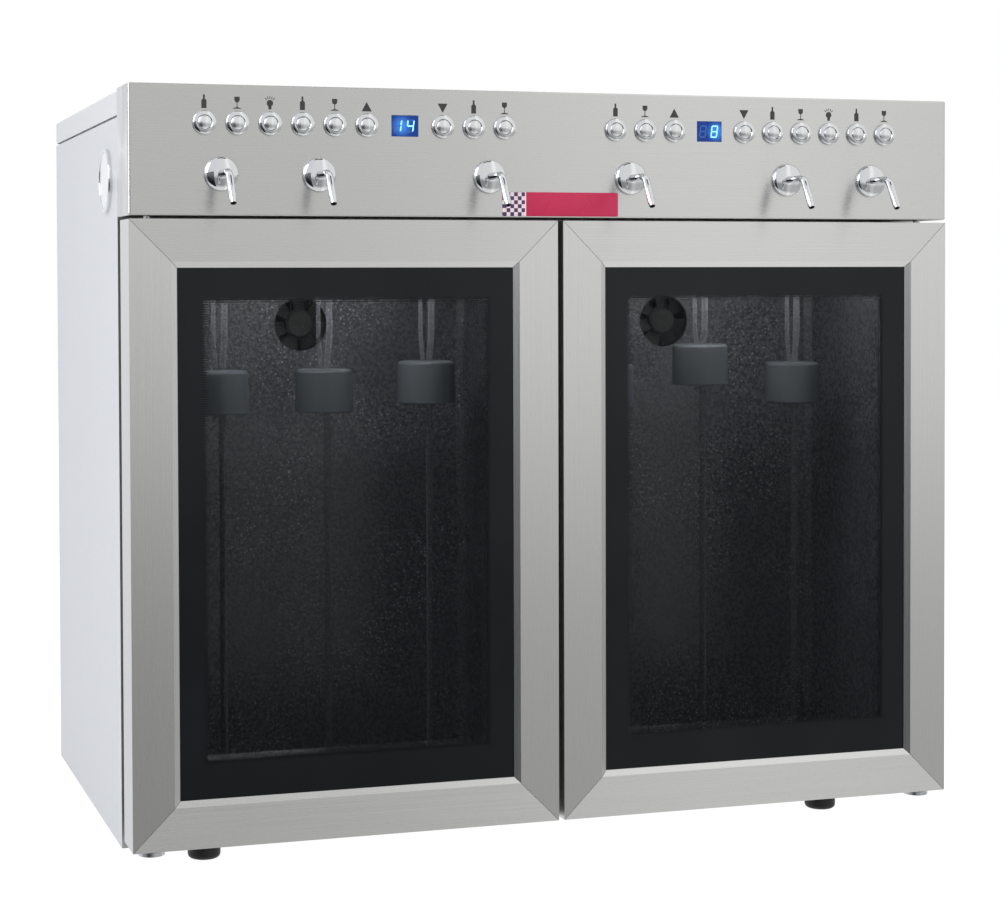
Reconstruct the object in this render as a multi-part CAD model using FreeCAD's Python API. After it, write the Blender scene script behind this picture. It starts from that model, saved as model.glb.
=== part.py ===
import FreeCAD, Part
import math
import os

# Six-bottle wine preservation dispenser with two cooled bays.
# Sizes are in millimetres. While it is built, x runs right from the left outer face,
# y runs back from the front face of the doors and z runs up from the worktop.
# The finished pieces are moved so that the origin lies under the middle of the whole.

Vec = FreeCAD.Vector

# Overall sizes
width = 750.0
depth = 430.0
height = 652.0
foot_height = 14.0
fascia_height = 108.0

# Sheet and running clearances
sheet = 1.2
fascia_sheet = 1.5
touch_gap = 0.3
edge_gap = 0.2
lid_drop = 2.0
lid_skirt = 20.5
shadow_gap = 2.0
lid_corner = 3.0
lid_edge_round = 1.5
side_step = 2.0
side_flange = 14.0
pan_wall = 22.0
rail_height = 26.0

# Bays
side_wall = 36.0
post_width = 50.0
bay_depth = 144.0
bay_floor_rise = 36.0
bay_head = 26.0
liner_wall = 1.5
liner_chamfer = 6.0
back_insulation = 32.0
foam_head_gap = 4.0
lamp_inset = 30.0
lamp_depth = 14.0
lamp_drop = 9.0
lamp_rounding = 3.0

# Doors
door_inset = 0.5
door_split = 5.0
door_top_gap = 2.5
door_lift = 8.0
door_thickness = 42.0
frame_face = 40.0
frame_wall = 3.0
bevel_width = 5.0
bevel_depth = 3.2
mitre_gap = 0.3
glass_lap = 10.0
glass_recess = 0.8
glass_seat = 0.2
groove_clearance = 1.0
inner_edge_drop = 3.0
pane = 4.0
pane_spacing = 12.0
spacer_width = 8.0
spacer_inset = 2.0
gasket_depth = 10.0
gasket_width = 11.0
gasket_hinge_inset = 22.0
gasket_edge_inset = 10.0
gasket_wall = 1.5
gasket_edge_bevel = 1.5
hinge_x = 19.0
hinge_y = 19.0
hinge_pin_radius = 3.0
hinge_pin_fit = 0.08
hinge_pin_grip = 12.0
bracket_width = 22.0
bracket_plate = 3.5
bracket_gap = 2.5
bracket_leg = 3.0
bracket_leg_height = 15.0

# Fascia tray
fascia_bend = 2.4
fascia_level_bend = 1.4
lip_depth = 10.0
lip_end_inset = 40.0
lip_middle_inset = 20.0

# Push buttons, in pairs over each tap, with bay controls between the pairs
button_drop = 31.5
button_pitch = 27.7
row_inset = 63.3
display_shift = 33.4
display_width = 23.7
display_height = 18.0
bezel_lap = 1.9
bezel_rise = 3.4
barrel_wall = 1.8
barrel_length = 14.0
panel_hole_fit = 0.15
plunger_radius = 5.9
plunger_fit = 0.2
plunger_rise = 4.6
plunger_dome = 3.2
plunger_collar = 1.4
collar_step = 1.5
button_travel = 1.5
left_row = "bgabgudbg"
right_row = "bgudbgabg"

# Control board and display windows
switch_side = 6.0
switch_depth = 3.4
switch_stem = 2.4
stem_reach = 1.2
stem_gap = 0.1
board_thickness = 1.6
board_below = 21.5
board_above = 14.0
board_end = 8.0
stud_drop = 15.5
stud_radius = 2.5
stud_row_inset = 14.0
stud_tap_inset = 26.0
window_thickness = 2.0
window_fit = 0.15
window_recess = 0.2
window_lip_side = 3.0
window_lip_rise = 1.5
module_side = 0.8
module_edge = 0.9

# Taps
tap_rise = 34.6
tap_flange_radius = 14.2
tap_flange_wall = 2.0
tap_flange_dome = 4.2
tap_reach = 47.85
tap_drop = 25.8
spout_radius = 3.1
spout_wall = 1.0
spout_bend = 12.0
spout_slant = 30.0
spout_nose = 8.0
spout_tip_wall = 0.5
shank_wall = 1.75
shank_length = 14.0
valve_side = 26.0
valve_depth = 24.0
coil_inset = 3.0
coil_head = 4.0

# Name plate blank
plate_width = 106.0
plate_height = 20.6
plate_thickness = 1.0
plate_rise = 1.2
plate_corner = 2.0

# Round port on the left side
port_y = 105.0
port_rise = 33.0
port_radius = 27.2
port_proud = 3.6
port_rim = 3.2
port_lap = 5.2
port_neck = 8.0
port_dish = 0.9
port_wall = 2.0

# Stoppers and their tubes
stopper_pitch = 95.0
stopper_setback = 60.0
stopper_radius = 26.0
stopper_height = 38.0
stopper_drop = 143.5
stopper_lifts = [0.0, 0.0, 6.0, 0.0, 18.0, 0.0]
stopper_rounding = 3.5
stopper_travel = 70.0
neck_socket_radius = 15.0
neck_socket_depth = 22.0
plug_wall = 0.6
plug_taper = 1.2
plug_inset = 2.0
gas_tube_radius = 2.0
wine_tube_radius = 3.0
tube_wall = 0.8
tube_fit = 0.05
tube_offset = 5.0
tube_above = 10.0
gas_tube_below = 4.0
dip_tube_clearance = 14.0
grommet_wall = 3.0
grommet_lip = 2.0
grommet_flange = 2.5
grommet_fit = 0.3
grommet_above = 4.0

# Bay fans and cooling blocks
fan_drop = 67.0
fan_side = 60.0
fan_rim = 5.0
fan_depth = 15.0
fan_hub_radius = 13.0
fan_blade_gap = 0.8
fan_blades = 7
fan_axle_radius = 2.0
fan_axle_fit = 0.08
fan_axle_length = 7.0
fan_corner = 4.0
fan_seat = 2.0
fan_strut = 3.0
fan_rotor_gap = 1.0
fan_cup_wall = 2.0
blade_thickness = 0.9
blade_pitch_root = 40.0
blade_pitch_tip = 28.0
cold_block_margin = 5.0
cold_block_depth = 13.0
hot_block = 130.0
hot_block_depth = 45.0
fin_count = 11
fin_base = 6.0
tile_side = 40.0

# Feet
foot_radius = 14.0
foot_bevel = 3.0
foot_shank_radius = 3.0
foot_shank = 8.0
foot_left = 71.0
foot_right = 97.0
foot_front = 57.0
foot_rear = 50.0

# Back panel
louvre_length = 150.0
louvre_slot = 5.0
louvre_pitch = 14.0
louvre_count = 9
inlet_x = 120.0
inlet_z = 75.0
inlet_width = 28.0
inlet_height = 20.0
gas_inlet_x = 200.0
inlet_depth = 18.0
inlet_wall = 2.0
inlet_flange = 2.5
blade_width = 2.0
blade_height = 5.0
blade_recess = 3.0
gas_inlet_radius = 7.0
gas_inlet_bore = 4.1
gas_inlet_reach = 14.0
gas_inlet_inside = 15.0
gas_collar = 3.0

# Machine compartment
supply_width = 215.0
supply_depth = 115.0
supply_height = 50.0
supply_gap = 30.0
supply_slots = 10
supply_slot = 6.0
supply_slot_pitch = 18.0
manifold_behind = 60.0
manifold_depth = 25.0
manifold_height = 18.0
gas_valve_width = 18.0
gas_valve_depth = 21.0
gas_valve_height = 28.0
gas_port_radius = 3.0
gas_port_reach = 10.0

# Places worked out from the sizes above
body_bottom = foot_height
front_depth = door_thickness + gasket_depth
door_bottom = foot_height + door_lift
fascia_bottom = height - fascia_height
door_top = fascia_bottom - door_top_gap
door_width = (width - door_split) / 2 - door_inset
lid_top = height - lid_drop
lid_edge = lid_top - lid_skirt
side_top = lid_edge - shadow_gap
bay_floor = body_bottom + bay_floor_rise
bay_ceiling = fascia_bottom - bay_head
bay_width = (width - 2 * side_wall - post_width) / 2
bay_back = front_depth + bay_depth
frame_back = front_depth + fascia_sheet
foam_back = bay_back + back_insulation
foam_top = fascia_bottom - foam_head_gap
glass_front = bevel_depth + glass_recess
glass_back = glass_front + 2 * pane + pane_spacing
glass_edge = frame_face - glass_lap
button_height = height - button_drop
barrel_radius = plunger_radius + plunger_fit + barrel_wall
bezel_radius = barrel_radius + bezel_lap
collar_back = barrel_length + touch_gap + plunger_collar
switch_front = collar_back + button_travel + stem_gap
board_front = switch_front + stem_reach + switch_depth
stud_height = button_height - stud_drop
window_back = fascia_sheet + window_thickness
module_width = display_width + 2 * module_side
module_height = display_height + 2 * module_edge
tap_height = fascia_bottom + tap_rise
port_height = fascia_bottom + port_rise
spout_bore = spout_radius - spout_wall
spout_tip_radius = spout_bore + spout_tip_wall
spout_down = Vec(0, -math.sin(math.radians(spout_slant)), -math.cos(math.radians(spout_slant)))
shank_radius = spout_radius + panel_hole_fit + shank_wall
port_neck_radius = port_radius - port_lap
stopper_y = front_depth + stopper_setback
stopper_base = bay_ceiling - stopper_drop
plug_nose_radius = tube_offset + wine_tube_radius + plug_wall
plug_radius = plug_nose_radius + plug_taper
tube_end_height = foam_top + tube_above
grommet_sleeve = tube_offset + wine_tube_radius + grommet_wall
grommet_radius = grommet_sleeve + grommet_lip
fan_height = bay_ceiling - fan_drop
fan_opening = fan_side / 2 - fan_rim
fan_blade_radius = fan_opening - fan_blade_gap
cold_block = fan_side + 2 * cold_block_margin


def box(x0, y0, z0, x1, y1, z1):
    return Part.makeBox(x1 - x0, y1 - y0, z1 - z0, Vec(x0, y0, z0))


def rod(radius, start, end):
    start, end = Vec(*start), Vec(*end)
    return Part.makeCylinder(radius, (end - start).Length, start, end - start)


def prism(points, push):
    """Solid of a closed outline pushed along a vector."""
    corners = [Vec(*p) for p in points]
    return Part.Face(Part.makePolygon(corners + corners[:1])).extrude(Vec(*push))


def turned(profile, centre, axis, radial):
    """Solid of revolution. The profile lists (radius, distance along the axis)."""
    centre, axis, radial = Vec(*centre), Vec(*axis), Vec(*radial)
    corners = [centre + radial * r + axis * a for r, a in profile]
    face = Part.Face(Part.makePolygon(corners + corners[:1]))
    return face.revolve(centre, axis, 360)


def dome(radius, rise, wall):
    """Profile of a domed face, from its crown out to the edge of the wall that it stands on."""
    turns = [math.radians(t) for t in (65, 40, 18, 0)]
    return [(0, -wall - rise)] + [(radius * math.cos(t), -wall - rise * math.sin(t)) for t in turns]


def edges_near(shape, test):
    """Edges whose middle point passes the test."""
    return [e for e in shape.Edges if test(e.valueAt((e.FirstParameter + e.LastParameter) / 2))]


def row_places(letters, start):
    """x of each button in a row, where the display stands between u (up) and d (down)."""
    places, x = [], start
    for letter in letters:
        if letter == "d":
            x += 2 * display_shift - button_pitch
        places.append((letter, x))
        x += button_pitch
    return places


def row_length(letters):
    return row_places(letters, 0)[-1][1]


left_buttons = row_places(left_row, row_inset)
right_buttons = row_places(right_row, width - row_inset - row_length(right_row))
buttons = left_buttons + right_buttons
display_places = [x + display_shift for letter, x in buttons if letter == "u"]
tap_places = [
    (buttons[k][1] + buttons[k + 1][1]) / 2
    for k in range(len(buttons) - 1)
    if buttons[k][0] == "b" and buttons[k + 1][0] == "g"
]

bay_starts = [side_wall, width - side_wall - bay_width]
bay_centres = [x + bay_width / 2 for x in bay_starts]
stopper_places = [x + k * stopper_pitch for x in bay_centres for k in (-1, 0, 1)]
door_starts = [door_inset, width - door_inset - door_width]
hinge_places = [hinge_x, width - hinge_x]
stud_places = [row_inset - stud_row_inset, tap_places[2] + stud_tap_inset,
               tap_places[3] - stud_tap_inset, width - row_inset + stud_row_inset]
feet_places = [
    (x, y)
    for x in (foot_left, width - foot_right)
    for y in (foot_front, depth - foot_rear)
]


# Cabinet

def make_base_pan():
    """Folded tray that carries everything, with its walls standing up inside the sides."""
    inset = sheet + touch_gap
    outer = box(inset, frame_back, body_bottom,
                width - inset, depth - inset, body_bottom + pan_wall)
    inner = box(inset + sheet, frame_back + sheet, body_bottom + sheet,
                width - inset - sheet, depth - inset - sheet, height)
    pan = outer.cut(inner)
    for x, y in feet_places:
        hole = foot_shank_radius + panel_hole_fit
        pan = pan.cut(rod(hole, (x, y, 0), (x, y, body_bottom + pan_wall)))
    return pan


def make_side_panel(left):
    """Folded side sheet with a step at the top that leaves a shadow gap under the lid."""
    top = lid_top - sheet
    outline = [
        (0, body_bottom),
        (0, side_top),
        (side_step + sheet, side_top),
        (side_step + sheet, top),
        (side_flange, top),
        (side_flange, top - sheet),
        (side_step + 2 * sheet, top - sheet),
        (side_step + 2 * sheet, side_top - sheet),
        (sheet, side_top - sheet),
        (sheet, body_bottom),
    ]
    rear = depth - sheet - edge_gap
    panel = prism([(x, frame_back, z) for x, z in outline], (0, rear - frame_back, 0))
    front_flange = box(sheet, frame_back, fascia_bottom + foam_head_gap,
                       side_flange, frame_back + sheet, side_top - sheet)
    rear_flange = box(sheet, rear - sheet, body_bottom + pan_wall + foam_head_gap,
                      side_flange, rear, side_top - sheet)
    panel = panel.fuse([front_flange, rear_flange])
    if left:
        hole = port_neck_radius + panel_hole_fit
        panel = panel.cut(rod(hole, (-1, port_y, port_height), (port_neck, port_y, port_height)))
    panel = panel.removeSplitter()
    if not left:
        panel = panel.mirror(Vec(width / 2, 0, 0), Vec(1, 0, 0))
    return panel


def make_top_cover():
    """Lid pressed as a shallow pan, open below."""
    lid = box(0, front_depth + touch_gap, lid_edge, width, depth, lid_top)
    middle = (lid_edge + lid_top) / 2
    corners = edges_near(lid, lambda p: abs(p.y - depth) < 0.1 and abs(p.z - middle) < 1)
    lid = lid.makeFillet(lid_corner, corners)
    rim = edges_near(lid, lambda p: abs(p.z - lid_top) < 0.1 and p.y > front_depth + 1)
    lid = lid.makeFillet(lid_edge_round, rim)
    hollow = box(sheet, front_depth + touch_gap + sheet, lid_edge - 1,
                 width - sheet, depth - sheet, lid_top - sheet)
    return lid.cut(hollow)


def make_front_frame():
    """Face frame round both bays, with the open rail above that carries the fascia."""
    plate = box(0, front_depth, body_bottom, width, frame_back, side_top)
    for x in bay_starts:
        plate = plate.cut(box(x, 0, bay_floor, x + bay_width, depth, bay_ceiling))
    plate = plate.cut(box(rail_height, 0, fascia_bottom + rail_height,
                          width - rail_height, depth, side_top - rail_height))
    return plate


def make_rear_panel():
    """Back sheet with two louvre fields and the holes for the power and gas inlets."""
    inset = sheet + 2 * touch_gap
    panel = box(inset, depth - sheet, body_bottom + sheet,
                width - inset, depth, lid_edge - shadow_gap)
    for middle in bay_centres:
        for k in range(louvre_count):
            z = fan_height + (k - (louvre_count - 1) / 2) * louvre_pitch
            panel = panel.cut(box(middle - louvre_length / 2, depth - 5, z - louvre_slot / 2,
                                  middle + louvre_length / 2, depth + 5, z + louvre_slot / 2))
    panel = panel.cut(box(inlet_x - inlet_width / 2, depth - 5, inlet_z - inlet_height / 2,
                          inlet_x + inlet_width / 2, depth + 5, inlet_z + inlet_height / 2))
    return panel.cut(rod(gas_inlet_radius, (gas_inlet_x, depth - 5, inlet_z),
                         (gas_inlet_x, depth + 5, inlet_z)))


def make_liner(x0):
    """Bay liner: a five-sided tray with a round fan opening in its back."""
    wall = liner_wall
    outer = box(x0 - wall, frame_back, bay_floor - wall,
                x0 + bay_width + wall, bay_back + wall, bay_ceiling + wall)
    inner = box(x0, frame_back - 1, bay_floor, x0 + bay_width, bay_back, bay_ceiling)
    corners = edges_near(inner, lambda p: abs(p.y - bay_back) < 0.1)
    liner = outer.cut(inner.makeChamfer(liner_chamfer, corners))
    middle = x0 + bay_width / 2
    liner = liner.cut(rod(fan_opening, (middle, bay_back - 1, fan_height),
                          (middle, bay_back + 5, fan_height)))
    for x in stopper_places:
        if x0 < x < x0 + bay_width:
            liner = liner.cut(rod(grommet_sleeve + touch_gap, (x, stopper_y, bay_ceiling - 1),
                                  (x, stopper_y, bay_ceiling + 5)))
    return liner


def make_insulation():
    """Foam round the liners, with pockets for the fans and cold blocks."""
    gap = sheet + touch_gap
    foam = box(2 * gap, frame_back + sheet, body_bottom + 2 * sheet,
               width - 2 * gap, foam_back, foam_top)
    wall = liner_wall
    for x0 in bay_starts:
        foam = foam.cut(box(x0 - wall, 0, bay_floor - wall,
                            x0 + bay_width + wall, bay_back + wall, bay_ceiling + wall))
    for x in bay_centres:
        half = cold_block / 2 + touch_gap
        foam = foam.cut(box(x - half, bay_back, fan_height - half,
                            x + half, foam_back + 1, fan_height + half))
    for x in stopper_places:
        half = grommet_sleeve + touch_gap
        foam = foam.cut(box(x - half, stopper_y - half, bay_ceiling, x + half, stopper_y + half, height))
    for x, y in feet_places:
        half = foot_shank_radius + 1
        foam = foam.cut(box(x - half, y - half, 0, x + half, y + half, foot_height + foot_shank + 1))
    return foam


def make_feet():
    """Rubber feet with a bevelled tread and a screw shank up through the pan."""
    feet = []
    for x, y in feet_places:
        profile = [(0, 0), (foot_radius - foot_bevel, 0),
                   (foot_radius, foot_bevel), (foot_radius, foot_height),
                   (foot_shank_radius, foot_height), (foot_shank_radius, foot_height + foot_shank),
                   (0, foot_height + foot_shank)]
        feet.append(turned(profile, (x, y, 0), (0, 0, 1), (1, 0, 0)))
    return Part.makeCompound(feet)


# Doors

def frame_member(length):
    """Hollow frame bar along x, its outer face at z = 0 and its inner edge upwards.

    Both ends are mitred, and a groove on the inner edge holds the glass.
    """
    groove_floor = glass_edge - groove_clearance
    inner_edge = frame_face - inner_edge_drop
    outline = [
        (0, 0),
        (0, frame_face - bevel_width),
        (bevel_depth, frame_face),
        (glass_front - glass_seat, frame_face),
        (glass_front - glass_seat, groove_floor),
        (glass_back + glass_seat, groove_floor),
        (glass_back + glass_seat, inner_edge),
        (door_thickness, inner_edge),
        (door_thickness, 0),
    ]
    bar = prism([(0, y, z) for y, z in outline], (length, 0, 0))
    chamber = box(-1, frame_wall, frame_wall, length + 1,
                  door_thickness - frame_wall, groove_floor - frame_wall)
    bar = bar.cut(chamber)
    cut = mitre_gap / 2 * math.sqrt(2)
    wedge = prism([(cut, -1, 0), (length - cut, -1, 0),
                   (length - frame_face - cut, -1, frame_face),
                   (frame_face + cut, -1, frame_face)], (0, door_thickness + 2, 0))
    return bar.common(wedge)


def make_door_frame(x0):
    """Four mitred bars. The top and bottom bars have bores for the hinge pins."""
    x1, z0, z1 = x0 + door_width, door_bottom, door_top
    across, upright = frame_member(door_width), frame_member(door_top - door_bottom)
    bottom = across.copy()
    bottom.translate(Vec(x0, 0, z0))
    top = across.mirror(Vec(0, 0, 0), Vec(0, 0, 1))
    top.translate(Vec(x0, 0, z1))
    left = upright.copy()
    left.rotate(Vec(0, 0, 0), Vec(0, 1, 0), -90)
    left = left.mirror(Vec(0, 0, 0), Vec(1, 0, 0))
    left.translate(Vec(x0, 0, z0))
    right = left.mirror(Vec((x0 + x1) / 2, 0, 0), Vec(1, 0, 0))
    bars = []
    for bar in (bottom, top, left, right):
        for x in hinge_places:
            bore = hinge_pin_radius + hinge_pin_fit
            bar = bar.cut(rod(bore, (x, hinge_y, z0 - 1), (x, hinge_y, z0 + hinge_pin_grip + 1)))
            bar = bar.cut(rod(bore, (x, hinge_y, z1 - hinge_pin_grip - 1), (x, hinge_y, z1 + 1)))
        bars.append(bar)
    return Part.makeCompound(bars)


def make_door_glass(x0):
    """Outer and inner pane of the double glazing."""
    x1 = x0 + door_width
    panes = []
    for y in (glass_front, glass_back - pane):
        panes.append(box(x0 + glass_edge, y, door_bottom + glass_edge,
                         x1 - glass_edge, y + pane, door_top - glass_edge))
    return Part.makeCompound(panes)


def ring_plate(x0, z0, x1, z1, y0, y1, band):
    """Flat rectangular ring between two depths."""
    outer = box(x0, y0, z0, x1, y1, z1)
    return outer.cut(box(x0 + band, y0 - 1, z0 + band, x1 - band, y1 + 1, z1 - band))


def make_glazing_spacer(x0):
    """Hollow-section bar bent round the edge between the panes."""
    inset = glass_edge + spacer_inset
    return ring_plate(x0 + inset, door_bottom + inset, x0 + door_width - inset,
                      door_top - inset, glass_front + pane, glass_back - pane, spacer_width)


def make_door_gasket(x0, hinge_left):
    """Magnetic bulb gasket on the back of the door, set in from the hinge side."""
    near = gasket_hinge_inset if hinge_left else gasket_edge_inset
    far = gasket_edge_inset if hinge_left else gasket_hinge_inset
    xa, xb = x0 + near, x0 + door_width - far
    za, zb = door_bottom + gasket_edge_inset, door_top - gasket_edge_inset
    ya, yb = door_thickness, front_depth - touch_gap
    bulb = ring_plate(xa, za, xb, zb, ya, yb, gasket_width)
    outer_rim = edges_near(bulb, lambda p: abs(p.y - yb) < 0.01)
    bulb = bulb.makeChamfer(gasket_edge_bevel, outer_rim)
    wall = gasket_wall
    core = ring_plate(xa + wall, za + wall, xb - wall, zb - wall,
                      ya + wall, yb - gasket_edge_bevel - 1.0, gasket_width - 2 * wall)
    return bulb.cut(core)


def make_hinge_brackets():
    """Lower and upper angle brackets with their riveted pins."""
    parts = []
    for x in hinge_places:
        half = bracket_width / 2
        for lower in (True, False):
            if lower:
                z0 = door_bottom - bracket_gap - bracket_plate
                leg0, leg1 = body_bottom, z0 + bracket_leg_height
                pin0, pin1 = z0, door_bottom + hinge_pin_grip
            else:
                z0 = fascia_bottom + fascia_sheet + touch_gap
                leg0, leg1 = z0, z0 + 2 * bracket_leg_height
                pin0, pin1 = door_top - hinge_pin_grip, z0 + bracket_plate
            nose = rod(half, (x, hinge_y, z0), (x, hinge_y, z0 + bracket_plate))
            plate = box(x - half, hinge_y, z0, x + half, front_depth, z0 + bracket_plate)
            leg = box(x - half, front_depth - bracket_leg, leg0, x + half, front_depth, leg1)
            pin = rod(hinge_pin_radius, (x, hinge_y, pin0), (x, hinge_y, pin1))
            parts.append(nose.fuse([plate, leg, pin]).removeSplitter())
    return Part.makeCompound(parts)


# Fascia, buttons and displays

def make_control_panel():
    """Folded fascia tray, open at the back, with all its holes and its board studs."""
    tray = box(0, 0, fascia_bottom, width, front_depth, height)
    upright = edges_near(tray, lambda p: abs(p.y) < 0.01 and abs(p.x - width / 2) > 1)
    tray = tray.makeFillet(fascia_bend, upright)
    level = edges_near(tray, lambda p: abs(p.y) < 0.01)
    tray = tray.makeFillet(fascia_level_bend, level)
    wall = fascia_sheet
    tray = tray.cut(box(wall, wall, fascia_bottom + wall, width - wall, front_depth + 1, height - wall))
    lip_spans = [(wall + lip_end_inset, width / 2 - lip_middle_inset),
                 (width / 2 + lip_middle_inset, width - wall - lip_end_inset)]
    for z0 in (fascia_bottom + wall, height - 2 * wall):
        for x0, x1 in lip_spans:
            tray = tray.fuse(box(x0, front_depth - wall - lip_depth, z0, x1, front_depth, z0 + wall))
    for letter, x in buttons:
        hole = barrel_radius + panel_hole_fit
        tray = tray.cut(rod(hole, (x, -5, button_height), (x, 10, button_height)))
    for x in display_places:
        tray = tray.cut(box(x - display_width / 2, -5, button_height - display_height / 2,
                            x + display_width / 2, 10, button_height + display_height / 2))
    for x in tap_places:
        tray = tray.cut(rod(shank_radius + panel_hole_fit, (x, -5, tap_height), (x, 10, tap_height)))
    for x in hinge_places:
        tray = tray.cut(rod(hinge_pin_radius + 1, (x, hinge_y, fascia_bottom - 1),
                            (x, hinge_y, fascia_bottom + wall + 0.1)))
    for x in stud_places:
        tray = tray.fuse(rod(stud_radius, (x, wall, stud_height), (x, board_front, stud_height)))
    return tray.removeSplitter()


def make_button_bezels():
    """Domed chrome rings, each with a threaded barrel through the fascia."""
    inner = plunger_radius + plunger_fit
    crown = (inner + bezel_radius) / 2
    rings = []
    for letter, x in buttons:
        profile = [(inner, -bezel_rise), (crown, -bezel_rise), (bezel_radius, 0), (barrel_radius, 0),
                   (barrel_radius, barrel_length), (inner, barrel_length)]
        rings.append(turned(profile, (x, 0, button_height), (0, 1, 0), (1, 0, 0)))
    return Part.makeCompound(rings)


def make_button(x):
    """Push-button plunger with a domed face and a retaining collar at its back."""
    back = barrel_length + touch_gap
    collar = plunger_radius + collar_step
    profile = dome(plunger_radius, plunger_dome, plunger_rise - plunger_dome)
    profile += [(plunger_radius, back), (collar, back),
                (collar, back + plunger_collar), (0, back + plunger_collar)]
    return turned(profile, (x, 0, button_height), (0, 1, 0), (1, 0, 0))


def make_control_board():
    """Circuit board on the fascia studs, with a tact switch behind each button."""
    board = box(stud_places[0] - board_end, board_front, button_height - board_below,
                stud_places[-1] + board_end, board_front + board_thickness, button_height + board_above)
    parts = [board]
    case, stem = switch_side / 2, switch_stem / 2
    case_front = board_front - switch_depth
    for letter, x in buttons:
        body = box(x - case, case_front, button_height - case, x + case, board_front, button_height + case)
        tip = box(x - stem, switch_front, button_height - stem, x + stem, case_front, button_height + stem)
        parts.append(body.fuse(tip))
    half_x, half_z = module_width / 2, module_height / 2
    for x in display_places:
        parts.append(box(x - half_x, window_back + touch_gap, button_height - half_z,
                         x + half_x, board_front, button_height + half_z))
    return Part.makeCompound(parts)


def make_display_windows():
    """Tinted windows that fill the cut-outs from behind, each with a thin flange."""
    windows = []
    half_x, half_z = display_width / 2 - window_fit, display_height / 2 - window_fit
    lip_x, lip_z = half_x + window_lip_side, half_z + window_lip_rise
    for x in display_places:
        front = box(x - half_x, window_recess, button_height - half_z,
                    x + half_x, window_back, button_height + half_z)
        lip = box(x - lip_x, fascia_sheet, button_height - lip_z,
                  x + lip_x, window_back, button_height + lip_z)
        windows.append(front.fuse(lip).removeSplitter())
    return Part.makeCompound(windows)


def make_name_plate():
    """Blank plate on the fascia with rounded corners."""
    x0 = (width - plate_width) / 2
    z0 = fascia_bottom + plate_rise
    plate = box(x0, -plate_thickness, z0, x0 + plate_width, 0, z0 + plate_height)
    corners = edges_near(plate, lambda p: abs(p.y + plate_thickness / 2) < 0.01)
    return plate.makeFillet(plate_corner, corners)


# Taps

def make_tap_flanges():
    """Domed round flanges, each on a hollow shank through the fascia."""
    bore = spout_radius + panel_hole_fit
    face = dome(tap_flange_radius, tap_flange_dome, tap_flange_wall)
    profile = [(bore, face[0][1])] + face[1:]
    profile += [(tap_flange_radius, 0), (shank_radius, 0), (shank_radius, shank_length), (bore, shank_length)]
    flanges = [turned(profile, (x, 0, tap_height), (0, 1, 0), (1, 0, 0)) for x in tap_places]
    return Part.makeCompound(flanges)


def make_tap_spouts():
    """Pour pipes bent down and forward, with a drawn-down tip. Only the outlet leg is bored."""
    pipes = []
    bend = math.radians(90 - spout_slant)
    leg = (tap_drop - spout_bend * (1 - math.cos(bend))) / math.sin(bend)
    run = tap_reach - spout_bend * math.sin(bend) - leg * math.cos(bend)
    for x in tap_places:
        start, turn = Vec(x, shank_length, tap_height), Vec(x, -run, tap_height)
        centre = turn - Vec(0, 0, spout_bend)
        middle = centre + Vec(0, -math.sin(bend / 2), math.cos(bend / 2)) * spout_bend
        knee = centre + Vec(0, -math.sin(bend), math.cos(bend)) * spout_bend
        nose = knee + spout_down * (leg - spout_nose)
        path = Part.Wire([Part.LineSegment(start, turn).toShape(), Part.Arc(turn, middle, knee).toShape(),
                          Part.LineSegment(knee, nose).toShape()])
        ring = Part.Wire(Part.makeCircle(spout_radius, start, Vec(0, -1, 0)))
        pipe = path.makePipeShell([ring], True, True)
        tip = Part.makeCone(spout_radius, spout_tip_radius, spout_nose, nose, spout_down)
        outlet = rod(spout_bore, knee, knee + spout_down * (leg + 1))
        pipes.append(pipe.fuse(tip).cut(outlet).removeSplitter())
    return Part.makeCompound(pipes)


def make_tap_valves():
    """Solenoid pinch valve behind each tap: a square body with a round coil on top."""
    valves = []
    for x in tap_places:
        front = shank_length
        half = valve_side / 2
        body = box(x - half, front, tap_height - half, x + half, front + valve_depth, tap_height + half)
        coil = rod(half - coil_inset, (x, front + valve_depth / 2, tap_height),
                   (x, front + valve_depth / 2, tap_height + half + coil_head))
        valves.append(body.fuse(coil).removeSplitter())
    return Part.makeCompound(valves)


# Round port on the left side

def make_port_cap():
    """Round cap with a raised rim and a shallow dished face, on a hollow neck through the sheet."""
    r, rim, proud = port_radius, port_rim, port_proud
    edge = rim * 0.4
    bore = port_neck_radius - port_wall
    back = proud - port_dish - port_wall
    profile = [(0, proud - port_dish), (r - rim, proud - port_dish), (r - rim + edge, proud),
               (r - edge, proud), (r, proud - edge), (r, 0), (port_neck_radius, 0),
               (port_neck_radius, -port_neck), (bore, -port_neck), (bore, back), (0, back)]
    return turned(profile, (0, port_y, port_height), (-1, 0, 0), (0, 1, 0))


# Stoppers

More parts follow.
